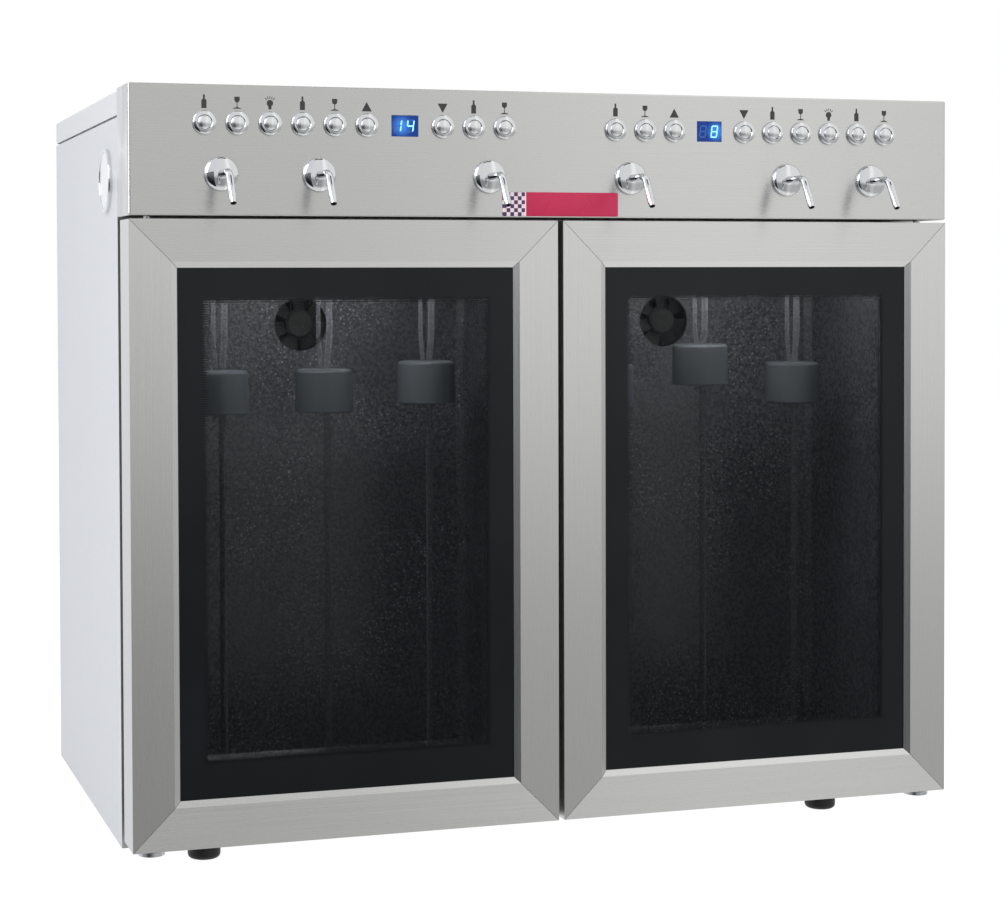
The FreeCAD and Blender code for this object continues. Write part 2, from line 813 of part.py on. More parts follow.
def make_stopper(x, lift):
    """Skirted bottle stopper with a tapered plug inside it, a gas tube and a wine pick-up tube."""
    base = stopper_base + lift
    top = base + stopper_height
    r, e = stopper_radius, stopper_rounding
    profile = [(0, plug_inset), (plug_nose_radius, plug_inset), (plug_radius, neck_socket_depth),
               (neck_socket_radius, neck_socket_depth), (neck_socket_radius, 0), (r, 0),
               (r, stopper_height - e), (r - e * 0.3, stopper_height - e * 0.3),
               (r - e, stopper_height), (0, stopper_height)]
    cap = turned(profile, (x, stopper_y, base), (0, 0, 1), (1, 0, 0))
    tubes = []
    ends = [(x - tube_offset, gas_tube_radius, base - gas_tube_below),
            (x + tube_offset, wine_tube_radius, bay_floor + dip_tube_clearance + lift)]
    for tube_x, radius, low in ends:
        bottom, end = (tube_x, stopper_y, low), (tube_x, stopper_y, tube_end_height + lift)
        cap = cap.cut(rod(radius + tube_fit, (tube_x, stopper_y, base), (tube_x, stopper_y, top + 1)))
        tubes.append(rod(radius, bottom, end).cut(rod(radius - tube_wall, bottom, end)))
    return Part.makeCompound([cap] + tubes)


def make_ceiling_grommets():
    """Flanged sleeves in the bay ceiling that the stopper tubes slide through."""
    low, high = bay_ceiling - grommet_flange, foam_top + grommet_above
    profile = [(0, low), (grommet_radius, low), (grommet_radius, bay_ceiling),
               (grommet_sleeve, bay_ceiling), (grommet_sleeve, high), (0, high)]
    sleeves = []
    for x in stopper_places:
        body = turned(profile, (x, stopper_y, 0), (0, 0, 1), (1, 0, 0))
        for tube_x, radius in ((x - tube_offset, gas_tube_radius), (x + tube_offset, wine_tube_radius)):
            body = body.cut(rod(radius + grommet_fit, (tube_x, stopper_y, low - 1),
                                (tube_x, stopper_y, high + 1)))
        sleeves.append(body)
    return Part.makeCompound(sleeves)


# Cooling

def make_fan_housings():
    """Square fan frames behind the liner openings, with a hub seat on three struts."""
    frames = []
    y0, y1 = bay_back + liner_wall, bay_back + liner_wall + fan_depth
    half = fan_side / 2
    for x in bay_centres:
        frame = box(x - half, y0, fan_height - half, x + half, y1, fan_height + half)
        frame = frame.makeFillet(fan_corner, edges_near(frame, lambda p: abs(p.y - (y0 + y1) / 2) < 0.1))
        frame = frame.cut(rod(fan_opening, (x, y0 - 1, fan_height), (x, y1 + 1, fan_height)))
        frame = frame.fuse(rod(fan_hub_radius, (x, y1 - fan_seat, fan_height), (x, y1, fan_height)))
        for k in range(3):
            strut = box(x - fan_strut / 2, y1 - fan_seat, fan_height,
                        x + fan_strut / 2, y1, fan_height + fan_opening + 1)
            strut.rotate(Vec(x, 0, fan_height), Vec(0, 1, 0), 120 * k)
            frame = frame.fuse(strut)
        axle = rod(fan_axle_radius, (x, y1 - fan_seat - fan_axle_length, fan_height),
                   (x, y1 - fan_seat / 2, fan_height))
        frames.append(frame.fuse(axle).removeSplitter())
    return Part.makeCompound(frames)


def fan_blade(y0, y1):
    """One twisted blade, lofted from root to tip about the y axis through the origin."""
    root, tip = fan_hub_radius - 1, fan_blade_radius + 1
    stations = [(root, blade_pitch_root),
                ((root + tip) / 2, (blade_pitch_root + blade_pitch_tip) / 2),
                (tip, blade_pitch_tip)]
    sections = []
    for radius, pitch in stations:
        angle = math.radians(pitch)
        along = Vec(math.cos(angle), math.sin(angle), 0) * ((y1 - y0) / 2 / math.sin(angle))
        thick = Vec(-math.sin(angle), math.cos(angle), 0) * (blade_thickness / 2)
        centre = Vec(0, (y0 + y1) / 2, radius)
        corners = [centre - along - thick, centre + along - thick, centre + along + thick,
                   centre - along + thick]
        sections.append(Part.makePolygon(corners + corners[:1]))
    sweep = rod(fan_blade_radius, (0, y0 - 1, 0), (0, y1 + 1, 0))
    return Part.makeLoft(sections, True, False).common(sweep)


def make_fan_rotor(x):
    """Twisted blades on a cupped hub that turns on the housing's axle."""
    y0 = bay_back + liner_wall + fan_rotor_gap
    y1 = bay_back + liner_wall + fan_depth - fan_seat - fan_rotor_gap
    floor = y0 + fan_cup_wall
    bore = fan_axle_radius + fan_axle_fit
    rotor = turned([(0, y0), (fan_hub_radius - fan_cup_wall, y0), (fan_hub_radius, floor),
                    (fan_hub_radius, y1), (bore, y1), (bore, floor), (0, floor)],
                   (0, 0, 0), (0, 1, 0), (1, 0, 0))
    for k in range(fan_blades):
        blade = fan_blade(floor, y1 - blade_thickness)
        blade.rotate(Vec(0, 0, 0), Vec(0, 1, 0), 360.0 * k / fan_blades)
        rotor = rotor.fuse(blade)
    rotor = rotor.removeSplitter()
    rotor.translate(Vec(x, 0, fan_height))
    return rotor


def finned_block(x, y0, side, block_depth, fins_back):
    """Square heat sink with upright fins on its front or back."""
    half = side / 2
    block = box(x - half, y0, fan_height - half, x + half, y0 + block_depth, fan_height + half)
    gap = side / (2 * fin_count + 1)
    near, far = y0 - 1, y0 + block_depth - fin_base
    if fins_back:
        near, far = y0 + fin_base, y0 + block_depth + 1
    for k in range(fin_count):
        left = x - half + gap * (2 * k + 1)
        block = block.cut(box(left, near, fan_height - half - 1, left + gap, far, fan_height + half + 1))
    return block


def make_cooling_blocks():
    """Cold block in the foam, thermoelectric tile and hot block for each bay."""
    parts = []
    cold_front = bay_back + liner_wall + fan_depth
    tile_front = cold_front + cold_block_depth
    half = tile_side / 2
    for x in bay_centres:
        parts.append(finned_block(x, cold_front, cold_block, cold_block_depth, False))
        parts.append(box(x - half, tile_front, fan_height - half, x + half, foam_back, fan_height + half))
        parts.append(finned_block(x, foam_back, hot_block, hot_block_depth, True))
    return Part.makeCompound(parts)


def make_bay_lamps():
    """Slim light bars under the bay ceilings, just behind the stoppers' way in."""
    lamps = []
    y0, z0 = frame_back + lamp_depth / 2, bay_ceiling - lamp_drop
    for x0, middle in zip(bay_starts, bay_centres):
        lamp = box(x0 + lamp_inset, y0, z0, x0 + bay_width - lamp_inset, y0 + lamp_depth, bay_ceiling)
        rim = edges_near(lamp, lambda p: abs(p.z - z0) < 0.01 and abs(p.x - middle) < 1)
        lamps.append(lamp.makeFillet(lamp_rounding, rim))
    return Part.makeCompound(lamps)


# Machine compartment

def make_power_supply():
    """Enclosed power supply on the base pan, with a slotted side."""
    floor = body_bottom + sheet
    x0, y0 = (width - supply_width) / 2, foam_back + supply_gap
    case = box(x0, y0, floor, x0 + supply_width, y0 + supply_depth, floor + supply_height)
    first = x0 + (supply_width - (supply_slots - 1) * supply_slot_pitch - supply_slot) / 2
    for k in range(supply_slots):
        x = first + supply_slot_pitch * k
        case = case.cut(box(x, y0 - 1, floor + supply_height / 4,
                            x + supply_slot, y0 + supply_slot / 2, floor + supply_height * 3 / 4))
    return case


def make_gas_manifold():
    """Gas manifold bar on the insulation with a small solenoid valve for each bottle."""
    y0, z0 = stopper_y + manifold_behind, foam_top
    z1 = z0 + manifold_height
    parts = [box(side_wall, y0, z0, width - side_wall, y0 + manifold_depth, z1)]
    inset = (manifold_depth - gas_valve_depth) / 2
    port_z = z1 + gas_valve_height / 2
    for x in stopper_places:
        valve = box(x - gas_valve_width / 2, y0 + inset, z1,
                    x + gas_valve_width / 2, y0 + inset + gas_valve_depth, z1 + gas_valve_height)
        port = rod(gas_port_radius, (x, y0 + inset + 1, port_z), (x, y0 + inset - gas_port_reach, port_z))
        parts.append(valve.fuse(port))
    return Part.makeCompound(parts)


def make_power_inlet():
    """Appliance inlet with a recess and three blades, snapped in from behind the sheet."""
    half_x, half_z = inlet_width / 2, inlet_height / 2
    rim, wall = inlet_flange, inlet_wall
    flange = box(inlet_x - half_x - rim, depth, inlet_z - half_z - rim,
                 inlet_x + half_x + rim, depth + rim, inlet_z + half_z + rim)
    body = box(inlet_x - half_x + edge_gap, depth - inlet_depth, inlet_z - half_z + edge_gap,
               inlet_x + half_x - edge_gap, depth + 1, inlet_z + half_z - edge_gap)
    shell = flange.fuse(body).removeSplitter()
    floor = depth - inlet_depth + wall
    shell = shell.cut(box(inlet_x - half_x + wall, floor, inlet_z - half_z + wall,
                          inlet_x + half_x - wall, depth + rim + 1, inlet_z + half_z - wall))
    parts = [shell]
    side, rise = inlet_width / 4, inlet_height / 8
    for dx, dz in ((-side, -rise), (side, -rise), (0, rise)):
        x, z = inlet_x + dx, inlet_z + dz
        parts.append(box(x - blade_width / 2, floor, z - blade_height / 2,
                         x + blade_width / 2, depth - blade_recess, z + blade_height / 2))
    return parts


def make_gas_inlet():
    """Push-in bulkhead fitting for the gas line."""
    r, bore = gas_inlet_radius, gas_inlet_bore
    barrel = r - edge_gap
    profile = [(bore, gas_inlet_inside), (barrel, gas_inlet_inside), (barrel, 0),
               (r + gas_collar, 0), (r + gas_collar, -gas_collar), (r, -gas_collar),
               (r, 1 - gas_inlet_reach), (r - 1, -gas_inlet_reach), (bore, -gas_inlet_reach)]
    return turned(profile, (gas_inlet_x, depth, inlet_z), (0, -1, 0), (1, 0, 0))


nodes = {
    "base_pan": make_base_pan(),
    "side_panel_left": make_side_panel(True),
    "side_panel_right": make_side_panel(False),
    "top_cover": make_top_cover(),
    "front_frame": make_front_frame(),
    "rear_panel": make_rear_panel(),
    "bay_liners": Part.makeCompound([make_liner(x) for x in bay_starts]),
    "insulation": make_insulation(),
    "feet": make_feet(),
    "door_frame_left": make_door_frame(door_starts[0]),
    "door_frame_right": make_door_frame(door_starts[1]),
    "door_glass_left": make_door_glass(door_starts[0]),
    "door_glass_right": make_door_glass(door_starts[1]),
    "glazing_spacer_left": make_glazing_spacer(door_starts[0]),
    "glazing_spacer_right": make_glazing_spacer(door_starts[1]),
    "door_gasket_left": make_door_gasket(door_starts[0], True),
    "door_gasket_right": make_door_gasket(door_starts[1], False),
    "hinge_brackets": make_hinge_brackets(),
    "control_panel": make_control_panel(),
    "button_bezels": make_button_bezels(),
    "control_board": make_control_board(),
    "display_windows": make_display_windows(),
    "name_plate": make_name_plate(),
    "tap_flanges": make_tap_flanges(),
    "tap_spouts": make_tap_spouts(),
    "tap_valves": make_tap_valves(),
    "port_cap": make_port_cap(),
    "ceiling_grommets": make_ceiling_grommets(),
    "fan_housings": make_fan_housings(),
    "fan_rotor_left": make_fan_rotor(bay_centres[0]),
    "fan_rotor_right": make_fan_rotor(bay_centres[1]),
    "cooling_blocks": make_cooling_blocks(),
    "bay_lamps": make_bay_lamps(),
    "power_supply": make_power_supply(),
    "gas_manifold": make_gas_manifold(),
    "rear_inlets": Part.makeCompound(make_power_inlet() + [make_gas_inlet()]),
}
for number, (letter, x) in enumerate(buttons, 1):
    nodes["button_%02d" % number] = make_button(x)
for number, (x, lift) in enumerate(zip(stopper_places, stopper_lifts), 1):
    nodes["stopper_%d" % number] = make_stopper(x, lift)

# The origin goes under the middle of the whole, spouts, port and gas inlet included.
front_end = -tap_reach + spout_tip_radius * spout_down.z
origin = Vec((width - port_proud) / 2, (front_end + depth + gas_inlet_reach) / 2, 0)
os.makedirs("parts", exist_ok=True)
for name, shape in nodes.items():
    shape.translate(-origin)
    shape.exportStep("parts/%s.step" % name)
print(len(nodes), "nodes; origin at", origin)
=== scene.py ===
import math

import bmesh
import bpy
from mathutils import Matrix, Vector


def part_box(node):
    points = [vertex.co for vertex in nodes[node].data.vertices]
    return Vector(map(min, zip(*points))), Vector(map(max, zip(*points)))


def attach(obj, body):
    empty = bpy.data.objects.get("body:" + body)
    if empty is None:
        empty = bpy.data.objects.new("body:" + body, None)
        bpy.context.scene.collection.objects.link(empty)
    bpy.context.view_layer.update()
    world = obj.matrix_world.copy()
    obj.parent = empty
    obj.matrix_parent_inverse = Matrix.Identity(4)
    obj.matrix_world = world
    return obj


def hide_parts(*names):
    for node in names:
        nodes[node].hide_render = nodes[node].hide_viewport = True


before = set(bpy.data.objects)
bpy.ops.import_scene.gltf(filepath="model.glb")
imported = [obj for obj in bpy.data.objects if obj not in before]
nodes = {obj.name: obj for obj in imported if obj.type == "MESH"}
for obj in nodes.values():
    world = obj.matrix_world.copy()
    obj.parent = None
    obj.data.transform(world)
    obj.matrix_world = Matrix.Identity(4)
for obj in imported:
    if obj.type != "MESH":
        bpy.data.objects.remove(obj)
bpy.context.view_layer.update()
scene = bpy.context.scene
mm = 0.001
print("frame loaded:", len(nodes), "nodes")


def srgb(code):
    # a hex colour, turned to Blender's linear values
    parts = [int(code[i:i + 2], 16) / 255 for i in (1, 3, 5)]
    return tuple(p / 12.92 if p <= 0.04045 else ((p + 0.055) / 1.055) ** 2.4 for p in parts) + (1.0,)


def wire(tree, node, inputs):
    # numbers and hex colours are set, sockets are linked, and a whole node gives its first live output
    for name, value in inputs.items():
        if isinstance(value, bpy.types.Node):
            value = next(socket for socket in value.outputs if socket.enabled)
        if isinstance(value, bpy.types.NodeSocket):
            tree.links.new(value, node.inputs[name])
        else:
            node.inputs[name].default_value = srgb(value) if isinstance(value, str) else value


def addNode(tree, kind, inputs=None, **settings):
    node = tree.nodes.new("ShaderNode" + kind)
    for name, value in settings.items():
        setattr(node, name, value)
    wire(tree, node, inputs or {})
    return node


def newMaterial(name, values):
    # values are the same all over the surface; the place is in metres, in the part's own frame
    material = bpy.data.materials.new(name)
    material.use_nodes = True
    tree = material.node_tree
    shader = tree.nodes["Principled BSDF"]
    wire(tree, shader, values)
    return material, tree, shader, addNode(tree, "TexCoord").outputs["Object"]


brushed = {
    "lineLength": 130 * mm,
    "lineWidth": 0.45 * mm,      # real abrasive lines are about 0.05 mm wide, drawn coarser to show
    "cloud": 111 * mm,           # soft patches where the belt pressed less
    "cloudShare": 0.25,
    "smear": 0.86,               # how far a reflection is drawn out across the lines
    "bump": 0.03,
    "depth": 0.03 * mm,
    "spread": (-0.025, 0.03),    # how far the roughness strays
}


def brushedSteel(name, light, dark, roughness, frameBox=None):
    # 304 stainless brushed with a belt: fine straight lines, and reflections that smear across them
    material, tree, shader, place = newMaterial(name, {"Metallic": 1.0, "Anisotropic": brushed["smear"]})
    across = addNode(tree, "Tangent", direction_type="RADIAL", axis="X")
    if frameBox:
        # each mitred bar is brushed along its own length
        low, high = frameBox
        xyz = addNode(tree, "SeparateXYZ", {0: place})
        edges = []
        for axis, index in (("X", 0), ("Z", 2)):
            near = addNode(tree, "Math", {0: xyz.outputs[axis], 1: low[index]}, operation="SUBTRACT")
            far = addNode(tree, "Math", {0: high[index], 1: xyz.outputs[axis]}, operation="SUBTRACT")
            edges.append(addNode(tree, "Math", {0: near, 1: far}, operation="MINIMUM"))
        upright = addNode(tree, "Math", {0: edges[0], 1: edges[1]}, operation="LESS_THAN")
        swapped = addNode(tree, "CombineXYZ", {0: xyz.outputs["Z"], 1: xyz.outputs["Y"],
                                               2: xyz.outputs["X"]})
        upwards = addNode(tree, "Tangent", direction_type="RADIAL", axis="Z")
        place = addNode(tree, "Mix", {0: upright, 4: place, 5: swapped}, data_type="VECTOR")
        across = addNode(tree, "Mix", {0: upright, 4: across, 5: upwards}, data_type="VECTOR")
    fine = 1 / brushed["lineWidth"]
    lines = addNode(tree, "Mapping", {0: place, 3: (1 / brushed["lineLength"], fine, fine)})
    grain = addNode(tree, "TexNoise", {0: lines, "Scale": 1.0, "Detail": 2.0, "Roughness": 0.6})
    cloud = addNode(tree, "TexNoise", {0: place, "Scale": 1 / brushed["cloud"], "Detail": 2.0})
    blend = addNode(tree, "Mix", {0: brushed["cloudShare"], 2: grain, 3: cloud})
    smooth, rough = (roughness + stray for stray in brushed["spread"])
    wire(tree, shader, {
        "Base Color": addNode(tree, "Mix", {0: blend, 6: dark, 7: light}, data_type="RGBA"),
        "Roughness": addNode(tree, "MapRange", {0: grain, 1: 0.3, 2: 0.7, 3: smooth, 4: rough}),
        "Normal": addNode(tree, "Bump", {"Strength": brushed["bump"], "Distance": brushed["depth"],
                                         "Height": grain}),
        "Tangent": across})
    return material


powderCoat = {
    "cloud": 200 * mm,
    "ripple": 2.5 * mm,
    "bump": 0.06,
    "depth": 0.1 * mm,
    "roughness": (0.37, 0.47),
}


def satinEnamel(name, colour, shade):
    # powder-coated sheet: an even satin colour with the faint ripple of a baked coat
    material, tree, shader, place = newMaterial(name, {"Metallic": 0.0, "IOR": 1.5})
    cloud = addNode(tree, "TexNoise", {0: place, "Scale": 1 / powderCoat["cloud"], "Detail": 3.0})
    ripple = addNode(tree, "TexNoise", {0: place, "Scale": 1 / powderCoat["ripple"], "Detail": 1.0})
    smooth, rough = powderCoat["roughness"]
    wire(tree, shader, {
        "Base Color": addNode(tree, "Mix", {0: cloud, 6: shade, 7: colour}, data_type="RGBA"),
        "Roughness": addNode(tree, "MapRange", {0: ripple, 1: 0.3, 2: 0.7, 3: smooth, 4: rough}),
        "Normal": addNode(tree, "Bump", {"Strength": powderCoat["bump"], "Distance": powderCoat["depth"],
                                         "Height": ripple})})
    return material


plating = {"haze": 6 * mm, "spread": 0.03}


def platedChrome(name, roughness, dark, light):
    # electroplated chrome: a mirror with the faintest haze from wiping, or satin where it was blasted first
    material, tree, shader, place = newMaterial(name, {"Metallic": 1.0})
    haze = addNode(tree, "TexNoise", {0: place, "Scale": 1 / plating["haze"], "Detail": 3.0})
    smooth, rough = roughness - plating["spread"], roughness + plating["spread"]
    wire(tree, shader, {
        "Base Color": addNode(tree, "Mix", {0: haze, 6: dark, 7: light}, data_type="RGBA"),
        "Roughness": addNode(tree, "MapRange", {0: haze, 1: 0.35, 2: 0.75, 3: smooth, 4: rough})})
    return material


stucco = {
    "pebble": 3.0 * mm,
    "depth": 0.5 * mm,
    "bump": 0.6,
    "paintedGlintReach": 0.34,           # how far from a pebble's middle its painted glint ends, in pebbles
    "paintedGlintCut": 0.52,         # pebbles whose random number is under this get no painted glint
    "patch": 110 * mm,       # the painted glints come and go in patches of this size
    "roughness": (0.2, 0.36),
}


def stuccoLiner(name):
    # stucco-embossed aluminium sheet under black lacquer, with small glints painted into the colour at some
    # pebble tips
    material, tree, shader, place = newMaterial(name, {"Metallic": 0.0, "IOR": 1.52})
    scale = 1 / stucco["pebble"]
    pebbles = addNode(tree, "TexVoronoi", {0: place, "Scale": scale})
    ripple = addNode(tree, "TexNoise", {0: place, "Scale": scale, "Detail": 2.0})
    height = addNode(tree, "Math", {0: pebbles, 1: ripple}, operation="MULTIPLY")
    lacquer = addNode(tree, "Mix", {0: ripple, 6: "#34363A", 7: "#474A4E"}, data_type="RGBA")
    tip = addNode(tree, "MapRange", {0: pebbles, 1: stucco["paintedGlintReach"], 2: 0.5 * stucco["paintedGlintReach"]})
    chosen = addNode(tree, "MapRange", {0: pebbles.outputs["Color"], 1: stucco["paintedGlintCut"], 2: 0.9})
    paintedGlints = addNode(tree, "Math", {0: tip, 1: chosen}, operation="MULTIPLY")
    patches = addNode(tree, "TexNoise", {0: place, "Scale": 1 / stucco["patch"], "Detail": 1.0})
    where = addNode(tree, "MapRange", {0: patches, 1: 0.4, 2: 0.6, 3: 0.1, 4: 0.95})
    paintedGlints = addNode(tree, "Math", {0: paintedGlints, 1: where}, operation="MULTIPLY")
    smooth, rough = stucco["roughness"]
    wire(tree, shader, {
        # painted glints: the lacquer's colour is lifted to pale grey at the chosen pebble tips
        "Base Color": addNode(tree, "Mix", {0: paintedGlints, 6: lacquer, 7: "#C6CACE"}, data_type="RGBA"),
        "Roughness": addNode(tree, "MapRange", {0: ripple, 1: 0.3, 2: 0.7, 3: smooth, 4: rough}),
        "Normal": addNode(tree, "Bump", {"Strength": stucco["bump"], "Distance": stucco["depth"],
                                         "Height": height})})
    return material


printedBorder = {
    "frameFace": 40 * mm,
    "side": 18 * mm,         # black enamel from the frame's inner edge inwards
    "head": 22 * mm,
    "foot": 26 * mm,
    "fade": 10 * mm,         # the dots shrink to nothing over this width
    "rounding": 4 * mm,
    "dotPitch": 2.0 * mm,    # real dots stand about 1 mm apart, drawn coarser so that they show
    "fullDot": 0.72,         # dots of this radius, in pitches, leave no gaps
    "clearTint": 0.1,
    "wipe": 71.4 * mm,
}


def tintedGlass(name, node, frameBox):
    # low-E float glass: grey and clear, with a black screen-printed border that ends in a dot fade
    material, tree, shader, place = newMaterial(name, {
        "Metallic": 0.0, "IOR": 1.45, "Specular IOR Level": 0.22, "Roughness": 0.03})
    paneLow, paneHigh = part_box(node)
    midway = (paneLow.y + paneHigh.y) / 2
    inset = Vector((printedBorder["frameFace"], 0, printedBorder["frameFace"]))
    low, high = frameBox[0] + inset, frameBox[1] - inset
    xyz = addNode(tree, "SeparateXYZ", {0: place})
    inside = None
    for axis, edge, way, border in (("X", low.x, 1, "side"), ("X", high.x, -1, "side"),
                                    ("Z", low.z, 1, "foot"), ("Z", high.z, -1, "head")):
        inward = addNode(tree, "Math", {0: xyz.outputs[axis], 1: edge}, operation="SUBTRACT")
        margin = addNode(tree, "Math", {0: inward, 1: way, 2: -printedBorder[border]},
                         operation="MULTIPLY_ADD")
        inside = margin if inside is None else addNode(
            tree, "Math", {0: inside, 1: margin, 2: printedBorder["rounding"]}, operation="SMOOTH_MIN")
    cover = addNode(tree, "MapRange", {0: inside, 1: 0.0, 2: printedBorder["fade"], 3: 1.05, 4: 0.0})
    pitch = 1 / printedBorder["dotPitch"]
    grid = addNode(tree, "VectorMath", {0: place, 1: (pitch, 0, pitch)}, operation="MULTIPLY")
    cell = addNode(tree, "VectorMath", {0: grid}, operation="FRACTION")
    offset = addNode(tree, "VectorMath", {0: cell, 1: (0.5, 0, 0.5)}, operation="SUBTRACT")
    reach = addNode(tree, "VectorMath", {0: offset}, operation="LENGTH")
    spread = addNode(tree, "Math", {0: cover, 1: printedBorder["fullDot"]}, operation="MULTIPLY")
    dots = addNode(tree, "Math", {0: reach, 1: spread}, operation="LESS_THAN")
    front = addNode(tree, "Math", {0: xyz.outputs["Y"], 1: midway}, operation="LESS_THAN")
    enamel = addNode(tree, "Math", {0: dots, 1: front}, operation="MULTIPLY")
    wipe = addNode(tree, "TexNoise", {0: place, "Scale": 1 / printedBorder["wipe"], "Detail": 2.0})
    wire(tree, shader, {
        "Alpha": addNode(tree, "MapRange", {0: enamel, 3: printedBorder["clearTint"], 4: 1.0}),
        "Base Color": addNode(tree, "Mix", {0: wipe, 6: "#0C0F11", 7: "#171A1D"}, data_type="RGBA"),
        "Roughness": addNode(tree, "MapRange", {0: wipe, 3: 0.02, 4: 0.06})})
    return material


def speckledPlastic(name, dark, light, roughness, grain=1.2 * mm, bump=0.12, ior=1.5):
    # injection-moulded or cast polymer: a fine spark-eroded texture from the mould
    material, tree, shader, place = newMaterial(name, {"Metallic": 0.0, "IOR": ior})
    fine = addNode(tree, "TexNoise", {0: place, "Scale": 1 / grain, "Detail": 3.0})
    smooth, rough = roughness - 0.06, roughness + 0.06
    wire(tree, shader, {
        "Base Color": addNode(tree, "Mix", {0: fine, 6: dark, 7: light}, data_type="RGBA"),
        "Roughness": addNode(tree, "MapRange", {0: fine, 1: 0.3, 2: 0.7, 3: smooth, 4: rough}),
        "Normal": addNode(tree, "Bump", {"Strength": bump, "Distance": 0.1 * mm, "Height": fine})})
    return material


def spangledZinc(name, spangle=11 * mm):
    # hot-dip galvanised sheet: flat grey crystals a centimetre across, each at its own tone
    material, tree, shader, place = newMaterial(name, {"Metallic": 1.0})
    crystals = addNode(tree, "TexVoronoi", {0: place, "Scale": 1 / spangle}).outputs["Color"]
    wire(tree, shader, {
        "Base Color": addNode(tree, "Mix", {0: crystals, 6: "#AAADB0", 7: "#BBBDBF"}, data_type="RGBA"),
        "Roughness": addNode(tree, "MapRange", {0: crystals, 3: 0.34, 4: 0.52})})
    return material


dieLines = {"width": 0.8 * mm, "length": 125 * mm}     # real ones are about 0.2 mm wide, drawn coarser


def millAluminium(name, roughness=0.38, dark="#B9BBBE", light="#D4D5D7"):
    # extruded aluminium, bare or anodised, with the long die lines of the press
    material, tree, shader, place = newMaterial(name, {"Metallic": 1.0})
    fine = 1 / dieLines["width"]
    lines = addNode(tree, "Mapping", {0: place, 3: (fine, fine, 1 / dieLines["length"])})
    die = addNode(tree, "TexNoise", {0: lines, "Scale": 1.0, "Detail": 2.0})
    wire(tree, shader, {
        "Base Color": addNode(tree, "Mix", {0: die, 6: dark, 7: light}, data_type="RGBA"),
        "Roughness": addNode(tree, "MapRange", {0: die, 3: roughness - 0.08, 4: roughness + 0.08})})
    return material


def clearVinyl(name, cloud=9 * mm):
    # soft PVC tube: see-through and slightly milky, with long bright edges
    material, tree, shader, place = newMaterial(name, {
        "Metallic": 0.0, "IOR": 1.5, "Specular IOR Level": 1.0, "Roughness": 0.06})
    edge = addNode(tree, "LayerWeight", {"Blend": 0.35}).outputs["Facing"]
    milk = addNode(tree, "TexNoise", {0: place, "Scale": 1 / cloud, "Detail": 2.0})
    wire(tree, shader, {
        "Alpha": addNode(tree, "MapRange", {0: edge, 3: 0.1, 4: 0.6}),
        "Base Color": addNode(tree, "Mix", {0: milk, 6: "#7E848A", 7: "#A2A8AC"}, data_type="RGBA")})
    return material


def litLightPipe(name, deep, pale, strength, patch=3 * mm):
    # polycarbonate light pipe with its lamp on: an ice blue glow, a little uneven from the diffuser
    material, tree, shader, place = newMaterial(name, {"Roughness": 0.4, "Emission Strength": strength})
    uneven = addNode(tree, "TexNoise", {0: place, "Scale": 1 / patch})
    tone = addNode(tree, "Mix", {0: uneven, 6: deep, 7: pale}, data_type="RGBA")
    wire(tree, shader, {"Base Color": tone, "Emission Color": tone})
    return material


# a glow painted into the window's colour round the lit digits
paintedDigitGlow = {
    "core": 2 * mm,
    "reach": 11 * mm,
    "toDigits": 12 * mm,     # from the outer edge of each window to the middle of its two digits
    "toLoneDigit": 4 * mm,   # the right window shows one digit, right of the middle
    "haze": 8 * mm,
}


def tintedWindow(name, windowsBox):
    # blue acrylic, nearly navy, with a glow round the lit digits painted into its colour
    material, tree, shader, place = newMaterial(name, {
        "Metallic": 0.0, "IOR": 1.49, "Specular IOR Level": 0.15})
    low, high = windowsBox
    level = (low.z + high.z) / 2
    nearest = None
    for x in (low.x + paintedDigitGlow["toDigits"], high.x - paintedDigitGlow["toDigits"] + paintedDigitGlow["toLoneDigit"]):
        away = addNode(tree, "VectorMath", {0: place, 1: (x, low.y, level)}, operation="DISTANCE")
        nearest = away if nearest is None else addNode(
            tree, "Math", {0: nearest, 1: away}, operation="MINIMUM")
    paintedGlow = addNode(tree, "MapRange", {0: nearest, 1: paintedDigitGlow["reach"], 2: paintedDigitGlow["core"]},
                   interpolation_type="SMOOTHSTEP")
    haze = addNode(tree, "TexNoise", {0: place, "Scale": 1 / paintedDigitGlow["haze"]})
    wire(tree, shader, {
        # painted glow: the colour goes from navy to bright blue near the digits
        "Base Color": addNode(tree, "Mix", {0: paintedGlow, 6: "#1B3D8C", 7: "#4286E4"}, data_type="RGBA"),
        "Roughness": addNode(tree, "MapRange", {0: haze, 3: 0.08, 4: 0.14})})
    return material


chequer = {"square": 3.4 * mm, "rule": 0.5 * mm, "cloud": 16.7 * mm}


def enamelPlate(name, plateBox):
    # vitreous enamel on a pressed plate: deep crimson, with a plain chequered square at its left end
    material, tree, shader, place = newMaterial(name, {
        "Metallic": 0.0, "IOR": 1.5, "Specular IOR Level": 0.3})
    low, high = plateBox
    end = low.x + high.z - low.z
    across = addNode(tree, "SeparateXYZ", {0: place}).outputs["X"]
    cloud = addNode(tree, "TexNoise", {0: place, "Scale": 1 / chequer["cloud"], "Detail": 2.0})
    red = addNode(tree, "Mix", {0: cloud, 6: "#B8264E", 7: "#C42B54"}, data_type="RGBA")
    shifted = addNode(tree, "VectorMath", {0: place, 1: tuple(low)}, operation="SUBTRACT")
    check = addNode(tree, "TexChecker", {0: shifted, 1: "#E9D3DA", 2: "#4A3A5C", 3: 1 / chequer["square"]})
    band = addNode(tree, "Math", {0: across, 1: end}, operation="LESS_THAN")
    rule = addNode(tree, "Math", {0: across, 1: end, 2: chequer["rule"]}, operation="COMPARE")
    tone = addNode(tree, "Mix", {0: band, 6: red, 7: check}, data_type="RGBA")
    wire(tree, shader, {
        "Base Color": addNode(tree, "Mix", {0: rule, 6: tone, 7: "#F0DDE2"}, data_type="RGBA"),
        "Roughness": addNode(tree, "MapRange", {0: cloud, 3: 0.22, 4: 0.34})})
    return material


